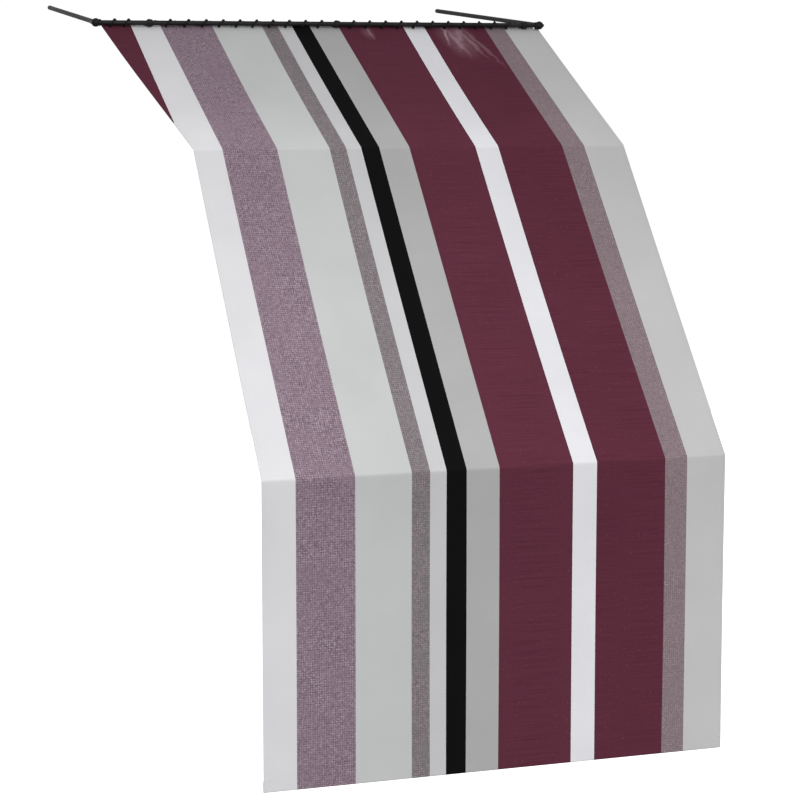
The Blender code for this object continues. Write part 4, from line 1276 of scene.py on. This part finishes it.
NOTCHES = [(CLAMP_X["left"] - NOTCH_HALF_WIDTH, CLAMP_X["left"] + NOTCH_HALF_WIDTH),
           (CLAMP_X["middle"] - NOTCH_HALF_WIDTH, CLAMP_X["middle"] + NOTCH_HALF_WIDTH),
           (CLAMP_X["right"] - NOTCH_HALF_WIDTH, CLAMP_X["right"] + NOTCH_HALF_WIDTH), (FLAP_END, CLOTH_WIDTH + 0.05)]
cut_away, head_axes = [], slope_frame(0, HEAD_OFFSET).inverted()
for face in bm.faces:
    x, s = flat_middle(face)
    in_notch = s < -0.004 and any(low < x < high for low, high in NOTCHES)
    past_clamp = s < FLAP_BACK and x > NOTCHES[2][1]
    over_band = s < -0.007 and (head_axes @ face.calc_center_median()).z > 0.0007
    if in_notch or past_clamp or over_band:
        cut_away.append(face)
bmesh.ops.delete(bm, geom=cut_away, context="FACES")
print("cloth faces", len(bm.faces), "cut away", len(cut_away))

# %% [markdown]
# ## Holes for the eyelets
# Each eyelet goes through the cloth. The faces near its centre are divided finely
# and the innermost are removed. The ragged rim hides between the eyelet's barrel
# and its flange, as the punched rim does on the real hem.

# %% Punching the eyelet holes
HOLE_RADIUS = 0.0049
for x in eyelets:
    centre = cloth_point(x, -EYELET_BACK)
    near = [face for face in bm.faces if (face.calc_center_median() - centre).length < 0.0095]
    bmesh.ops.subdivide_edges(bm, edges=list({edge for face in near for edge in face.edges}), cuts=3,
                              use_grid_fill=True)
    inner = [face for face in bm.faces if (face.calc_center_median() - centre).length < HOLE_RADIUS]
    bmesh.ops.delete(bm, geom=inner, context="FACES")
bmesh.ops.triangulate(bm, faces=[face for face in bm.faces if len(face.verts) > 4])
cloth = bare(bm, "striped_cloth")
bm = bmesh.new()
bm.from_mesh(cloth.data)
bmesh.ops.recalc_face_normals(bm, faces=bm.faces)
bm.to_mesh(cloth.data)
bm.free()
dress(cloth, STRIPED_CANVAS, ["cloth"], 80)
thickness = cloth.modifiers.new("thickness", "SOLIDIFY")
thickness.thickness = 0.0009
thickness.offset = 0
thickness.use_even_offset = True
thickness.thickness_clamp = 1.0
print("cloth", len(cloth.data.polygons), "faces before its thickness")

# %% [markdown]
# ## Pockets for the fold bars
# A sleeve of the same cloth is sewn under each fold and holds its bar. In section
# it starts flat against the cloth, leaves it along a straight line, passes round
# the bar and comes back to the cloth on the other side.

# %% Fold pockets
POCKET_INSET, POCKET_UNDER, POCKET_ROUND, FLANGE_NEAR, FLANGE_FAR = 0.020, 0.0011, 0.0057, 0.009, 0.017


def pocket_section(fold_s, after_s, centre, before, after):
    """Points of the sleeve's section: flat ones as distance down the cloth, round ones in side view."""
    section = [("flat", fold_s - d) for d in (FLANGE_FAR, (FLANGE_FAR + FLANGE_NEAR) / 2, FLANGE_NEAR)]
    height = RIB_OFFSET - POCKET_UNDER
    contact = atan2(FLANGE_NEAR, height) + pi / 2 - atan2(POCKET_ROUND, hypot(FLANGE_NEAR, height))
    first, last = before - contact, after + contact - 2 * pi
    for i in range(13):
        angle = first + (last - first) * i / 12
        section.append(("round", centre - slope_axes(angle)[1] * POCKET_ROUND))
    return section + [("flat", after_s + d) for d in (FLANGE_NEAR, (FLANGE_FAR + FLANGE_NEAR) / 2, FLANGE_FAR)]


def sew_pocket(fold, bay, section, fold_s, low, high):
    """The sleeve between two ribs, as a thin sheet."""
    def spot_of(x, item):
        kind, value = item
        return cloth_point(x, value, POCKET_UNDER) if kind == "flat" else at(x, value)

    lengths = [0.0]
    for a, b in zip(section, section[1:]):
        lengths.append(lengths[-1] + (spot_of(0.3, b) - spot_of(0.3, a)).length)
    sleeve, _ = placed_grid(steps(low, high, 48) + [high], list(range(len(section))),
                            lambda x, j: (spot_of(x, section[j]), (stripe_at(x, fold_s), fold_s + lengths[j])))
    piece = finish_piece(f"{fold}_fold_pocket_{bay}_sleeve", sleeve, STRIPED_CANVAS,
                         [f"{fold}_fold_pocket_{bay}"], 80)
    wall = piece.modifiers.new("thickness", "SOLIDIFY")
    wall.thickness, wall.offset = 0.0008, 0
    return piece, (high - low, lengths[-1])


for bay, (low, high) in BAYS.items():
    span = CLAMP_X[low] + POCKET_INSET, CLAMP_X[high] - POCKET_INSET
    for fold, fold_s, after_s, centre, before, after in (
            ("first", S_FOLD1, S_AFTER1, FIRST_CENTRE, UPPER_SLOPE, LOWER_SLOPE),
            ("second", S_FOLD2, S_AFTER2, SECOND_CENTRE, LOWER_SLOPE, pi / 2)):
        section = pocket_section(fold_s, after_s, centre, before, after)
        piece, size = sew_pocket(fold, bay, section, fold_s, *span)

# %% [markdown]
# ## Band and eyelets
# A webbing band under the head hem takes the pull of the lacing. Each eyelet has a
# rolled flange on top, a barrel through cloth and band, and a thin washer below.
# The band is a long box with rounded edges, drilled where the eyelets go.

# %% Webbing bands
BAND_WIDTH, BAND_THICKNESS, BAND_TOP = 0.016, 0.0015, HALF_CLOTH + GAP
BAND_FILLET, BAND_HOLE_RADIUS = 0.0004, 0.0038
BANDS = {"left": (-HEAD_FLARE + GAP * 3, NOTCHES[0][0] - GAP * 3),
         "middle": (NOTCHES[0][1] + GAP * 3, NOTCHES[1][0] - GAP * 3),
         "right": (NOTCHES[1][1] + GAP * 3, NOTCHES[2][0] - GAP * 3)}
up_slope = on_hem(0, 0, 0) - on_hem(0, 0, 1)


def lay_flat(bm):
    """Give a band its place on the hem as UV, in metres."""
    flat = bm.loops.layers.uv.new("flat")
    back = slope_frame(0, HEAD_OFFSET).inverted()
    for face in bm.faces:
        for loop in face.loops:
            local = back @ loop.vert.co
            loop[flat].uv = (local.x, local.y + local.z)


for name, (low, high) in BANDS.items():
    bm = bmesh.new()
    middle = Matrix.Translation(((low + high) / 2, -EYELET_BACK, BAND_TOP + BAND_THICKNESS / 2))
    rounded_box(bm, slope_frame(0, HEAD_OFFSET) @ middle, (high - low, BAND_WIDTH, BAND_THICKNESS), BAND_FILLET, 2)
    band = bare(bm, f"hem_band_{name}")
    hole = rod_profile(BAND_HOLE_RADIUS, -0.004, 0.004, BORE_CUT)
    drill(band, [(hole, stood(on_hem(x, -EYELET_BACK, HEAD_OFFSET), up_slope)) for x in eyelets if low < x < high])
    reshape(band, lay_flat)
    dress(band, HEM_WEBBING, [f"eyelet_band_{name}"])

# %% [markdown]
# ## Eyelets
# One profile holds the rolled flange, the barrel and the washer. It is spun once at
# each place, and all the rings are kept as one piece.

# %% Eyelets
BORE, BARREL, FLANGE = 0.0032, 0.0037, 0.0065
top, bottom = BAND_TOP - 0.0001, -(BAND_TOP + BAND_THICKNESS)
EYELET = [(BORE, bottom - 0.0002), (BORE, top + 0.0004), (BORE + 0.0005, top + 0.0010), (BORE + 0.0015, top + 0.0012),
          (FLANGE - 0.0010, top + 0.0008), (FLANGE - 0.0002, top + 0.0004), (FLANGE, top + 0.0001),
          (FLANGE - 0.0002, top),
          (BARREL, top), (BARREL, bottom), (0.0056, bottom), (0.0057, bottom - 0.0002), (0.0055, bottom - 0.0004),
          (BORE + 0.0004, bottom - 0.0004)]
bm = bmesh.new()
for x in eyelets:
    spin_profile(bm, EYELET, 28, stood(on_hem(x, -EYELET_BACK, HEAD_OFFSET), up_slope))
eyelet_rings = finish_piece("eyelet_rings", bm, ZINC)
print("eyelets", len(eyelets), "faces", len(eyelet_rings.data.polygons))

# %% [markdown]
# ## Lacing cord
# One cord goes up through an eyelet, under the bar, round it and back, and round
# the hem's edge to the next eyelet. The route is the same list of points as the
# solid cord's. A smooth curve is drawn through them, and a grid is rolled round the
# curve, which gives the braid its coordinates along and around the cord.

# %% Route of the lacing
UNDER_BAND = HEAD_OFFSET + BAND_TOP + BAND_THICKNESS + GAP * 2 + LACE_RADIUS
BEHIND_HEM = HEM_BACK + GAP * 3 + LACE_RADIUS
FLANGE_TOP = HEAD_OFFSET - BAND_TOP - 0.0008
BAR_LAPS, BAR_STEPS, LAP_START, KNOT_RADIUS = 317, 18, -45, 0.0042
LACE_DIAMETER = LACE_RADIUS * 2
SIDEWAYS = [(-45, -0.0168), (70, -0.0160), (110, -0.0145), (250, -0.0010), (272, 0)]


def turn_points(x, leave_x, next_x, clamp_x):
    """One turn, from the eyelet at x to the one at next_x, past a clamp if there is one."""
    yield on_hem(x, -EYELET_BACK, HEAD_OFFSET - 0.0012)
    yield on_hem(x + 0.0006, -EYELET_BACK + 0.0011, FLANGE_TOP - 0.0020)
    yield on_hem(x + (leave_x + SIDEWAYS[0][1] - x) * 0.3, -EYELET_BACK + 0.0034, FLANGE_TOP - LACE_RADIUS - 0.0010)
    for i in range(BAR_STEPS + 1):
        turned = LAP_START + BAR_LAPS * i / BAR_STEPS
        (low, start), (high, end) = next(pair for pair in zip(SIDEWAYS, SIDEWAYS[1:]) if turned <= pair[1][0])
        across, angle = start + (end - start) * (turned - low) / (high - low), radians(turned)
        yield on_hem(leave_x + across, (WRAP_RADIUS + 0.0001) * sin(angle), (WRAP_RADIUS + 0.0001) * cos(angle))
    if clamp_x is not None:
        for side in (-1, 1):
            yield on_hem(clamp_x + side * (WEB_THICKNESS / 2 + LACE_DIAMETER), -WEB_BACK - 0.004, HEAD_OFFSET - 0.0041)
        before = next_x - 0.004
    else:
        before = leave_x + (next_x - leave_x) * 0.55
        yield on_hem(before, -HEM_BACK + 0.0065, HEAD_OFFSET - 0.0066)
        before = leave_x + (next_x - leave_x) * 0.85
    yield on_hem(before, -BEHIND_HEM + 0.0018, HEAD_OFFSET - 0.0034)
    yield on_hem(next_x - 0.001, -BEHIND_HEM - 0.0002, HEAD_OFFSET)
    yield on_hem(next_x, -BEHIND_HEM + 0.0012, HEAD_OFFSET + 0.0034)
    yield on_hem(next_x, -BEHIND_HEM + 0.0044, UNDER_BAND)
    yield on_hem(next_x, -EYELET_BACK - 0.0030, UNDER_BAND)
    yield on_hem(next_x, -EYELET_BACK - 0.0009, UNDER_BAND - 0.0008)
    yield on_hem(next_x, -EYELET_BACK, UNDER_BAND - 0.0026)


lead_in = HEAD_OFFSET + BAND_TOP + BAND_THICKNESS + KNOT_RADIUS * 0.85
lead_out = FLANGE_TOP - KNOT_RADIUS * 0.85
route = [on_hem(eyelets[0], -EYELET_BACK, lead_in)]
for turn, x, next_x in zip(turns, eyelets, eyelets[1:]):
    leave_x = turn_x(turn) + 0.008
    passed = [c for c in CLAMP_X.values() if leave_x < c < next_x]
    route += turn_points(x, leave_x, next_x, passed[0] if passed else None)
route += [on_hem(eyelets[-1], -EYELET_BACK, HEAD_OFFSET - 0.0010), on_hem(eyelets[-1], -EYELET_BACK, lead_out)]
print("route points", len(route))

# %% [markdown]
# ## Rolling a cord
# A cord is rolled round a smooth curve. The side direction is carried from ring to
# ring, so the grid doesn't twist, and the length so far becomes the coordinate that
# the braid follows.

# %% Smooth cords
def smoothed(points, spacing):
    """A smooth curve through the points, which leaves each along the mean of its two directions."""
    ways = [(b - a).normalized() for a, b in zip(points, points[1:])]
    ways = [ways[0]] + [(a + b).normalized() for a, b in zip(ways, ways[1:])] + [ways[-1]]
    curve = []
    for start, end, out, into in zip(points, points[1:], ways, ways[1:]):
        reach = (end - start).length
        count = max(1, round(reach / spacing))
        for i in range(count):
            t = i / count
            curve.append(start * (2 * t**3 - 3 * t**2 + 1) + out * reach * (t**3 - 2 * t**2 + t)
                         + end * (3 * t**2 - 2 * t**3) + into * reach * (t**3 - t**2))
    return curve + [points[-1]]


def rolled_cord(curve, radius, sides):
    """A grid rolled round a curve, closed at its ends."""
    ways = [(b - a).normalized() for a, b in zip(curve, curve[1:])]
    ways.append(ways[-1])
    side_way, travelled, ring_frames = ways[0].orthogonal().normalized(), 0.0, []
    for i, way in enumerate(ways):
        side_way = (side_way - way * side_way.dot(way)).normalized()
        travelled += (curve[i] - curve[i - 1]).length if i else 0.0
        ring_frames.append((curve[i], side_way.copy(), way.cross(side_way), travelled))

    def roll(ring, k):
        middle, out, up, length = ring
        angle = 2 * pi * k / sides
        return middle + (out * cos(angle) + up * sin(angle)) * radius, (length, k / sides)

    bm, _ = placed_grid(ring_frames, list(range(sides + 1)), roll)
    bmesh.ops.remove_doubles(bm, verts=bm.verts, dist=1e-7)
    bmesh.ops.holes_fill(bm, edges=[edge for edge in bm.edges if edge.is_boundary], sides=0)
    return bm, travelled


curve = smoothed(route, 0.0014)
bm, cord_length = rolled_cord(curve, LACE_RADIUS, 12)
lacing = finish_piece("lacing_cord_braided", bm, LACE_CORD, ["lacing_cord"], 60)
print("cord length", round(cord_length, 3), "faces", len(lacing.data.polygons))

# %% [markdown]
# ## Knots
# A stopper knot holds each end of the cord. A trefoil curve is the simplest true
# knot: rolled with the same cord it shows three crossing strands. A short tail
# hangs from it.

# %% Stopper knots
STRAND = 0.0015
knots = []


def trefoil(size, t):
    """A point of the trefoil curve, pressed a little flatter than it is wide."""
    return Vector((size * (sin(t) + 2 * sin(2 * t)), size * (cos(t) - 2 * cos(2 * t)), -size * 1.3 * sin(3 * t)))


for name, x, under, way in (("left", eyelets[0], lead_in, -up_slope), ("right", eyelets[-1], lead_out, up_slope)):
    size = (KNOT_RADIUS - STRAND) / 3
    ahead = way.normalized()
    middle = on_hem(x, -EYELET_BACK, under) + ahead * 0.0006
    loops = [stood(middle, way) @ trefoil(size, t) for t in steps(0, 2 * pi, 60)]
    bm, _ = rolled_cord(loops + loops[:2], STRAND, 10)
    tail_end = middle + ahead * 0.0085 + Vector((0.0012, 0, -0.001))
    tail, _ = rolled_cord(smoothed([middle, middle + ahead * 0.004, tail_end], 0.001), LACE_RADIUS * 0.9, 10)
    pour(bm, tail)
    knots.append(finish_piece(f"lacing_knot_{name}_stopper", bm, LACE_CORD, [f"lacing_knot_{name}"], 60))
print("knots", len(knots))

# %% [markdown]
# ## Weight bar
# A flat zinc-plated bar in the bottom hem keeps the drop straight. Only its ends
# show, inside the open hem. It is a box with its long edges rounded, as rolled flat
# bar is.

# %% Weight bar
HEM_BAR_INSET, HEM_BAR_FILLET = 0.012, 0.0009
low = at(HEM_BAR_INSET, hem_centre + Vector((HEM_BAR_THICKNESS / 2, 0)))
high = at(CLOTH_WIDTH - HEM_BAR_INSET, hem_centre + Vector((-HEM_BAR_THICKNESS / 2, HEM_BAR_HEIGHT)))
bm = bmesh.new()
rounded_box(bm, Matrix.Translation((low + high) / 2), high - low, HEM_BAR_FILLET, 3)
weight_bar = finish_piece("hem_weight_bar_flat", bm, ZINC, ["hem_weight_bar"])
print("weight bar", [round(v, 4) for v in weight_bar.dimensions])

# %% [markdown]
# ## Stitching
# Every hem and pocket is sewn with a row of short stitches, seen on both faces of
# the cloth. A stitch is a tiny stretched sphere with few faces, because there are
# thousands. Each carries its flat spot on the cloth as UV, so the thread takes the
# colour of the stripe that it crosses.

# %% Rows of stitches
STITCH_PITCH, STITCH_LENGTH, STITCH_WIDTH = 0.0045, 0.0032, 0.00045
bm = bmesh.new()
bmesh.ops.create_uvsphere(bm, u_segments=6, v_segments=3, radius=1, calc_uvs=True)
bmesh.ops.scale(bm, vec=(STITCH_LENGTH / 2, STITCH_WIDTH / 2, STITCH_WIDTH / 3), verts=bm.verts)
one_stitch = bpy.data.meshes.new("one_stitch")
one_stitch.uv_layers.new(name="flat")
bm.loops.layers.uv.new("flat")
bm.to_mesh(one_stitch)
bm.free()


def sew(bm, x_of, s_of, count, under):
    """Stamp stitches along a line; x_of and s_of give the place for a share of the way."""
    for i in range(count):
        share, ahead = (i + 0.5) / count, (i + 0.6) / count
        x, s = x_of(share), s_of(share)
        place = cloth_point(x, s, under)
        way = (cloth_point(x_of(ahead), s_of(ahead), under) - place).normalized()
        out = (cloth_point(x, s, under - 0.001) - place).normalized()
        side = out.cross(way).normalized()
        stamp = Matrix.Translation(place) @ Matrix((way, side, out)).transposed().to_4x4()
        flat = one_stitch.uv_layers["flat"].uv
        flat.foreach_set("vector", [stripe_at(x, s), s] * len(flat))
        one_stitch.transform(stamp)
        bm.from_mesh(one_stitch)
        one_stitch.transform(stamp.inverted())


def down_edge(bm, side, inset, start, end, under):
    """A row down one side of the cloth."""
    count = round((end - start) / STITCH_PITCH)
    pick, way = (0, 1) if side == "left" else (1, -1)
    s_of = lambda share: start + (end - start) * share
    sew(bm, lambda share: edges(s_of(share))[pick] + way * inset, s_of, count, under)


def across_cloth(bm, s, low, high, under):
    """A row across the cloth."""
    sew(bm, lambda share: low + (high - low) * share, lambda share: s, round((high - low) / STITCH_PITCH), under)


OUTER, INNER = -0.00050, 0.00050
for face_name, top_side in (("face", True), ("underside", False)):
    bm = bmesh.new()
    hem_under = OUTER if top_side else 2 * HEM_FOLD + INNER
    for side in ("left", "right"):
        down_edge(bm, side, 0.0092, 0.006, S_HEM - 0.032, hem_under)
    across_cloth(bm, S_HEM - 0.0245, 0.010, CLOTH_WIDTH - 0.010, OUTER if top_side else 0.0018)
    for bay, (low, high) in BAYS.items():
        span = CLAMP_X[low] + POCKET_INSET + 0.003, CLAMP_X[high] - POCKET_INSET - 0.003
        for s in (S_FOLD1 - 0.013, S_AFTER1 + 0.013, S_FOLD2 - 0.013, S_AFTER2 + 0.013):
            across_cloth(bm, s, *span, OUTER if top_side else POCKET_UNDER + 0.00045)
    for low, high in BANDS.values():
        for s in (-EYELET_BACK - 0.0068, -EYELET_BACK + 0.0068):
            across_cloth(bm, s, low + 0.002, high - 0.002, OUTER if top_side else BAND_TOP + BAND_THICKNESS)
    stitches = finish_piece(f"stitches_{face_name}", bm, THREAD, (), 60)
    print(stitches.name, len(stitches.data.polygons), "faces")
bpy.data.meshes.remove(one_stitch)

# %% [markdown]
# ## The cloth's sheets
# The cloth and the four pockets are sheets, cut to a size before they were sewn.
# The cloth isn't a rectangle.

# %% [markdown]
# ## Last sizes
# The finished pieces must stay inside the solid parts' box, apart from a little for
# cloth that sags. The most that they stand out of it, on each axis, is printed.

# %% Sizes of the finished model
visual_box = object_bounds()
grown = [max(a - b, c - d) * 1000 for a, b, c, d in zip(cad_box[0], visual_box[0], visual_box[1], cad_box[1])]
print("stands proud of the CAD box by at most, mm", [round(v, 1) for v in grown])
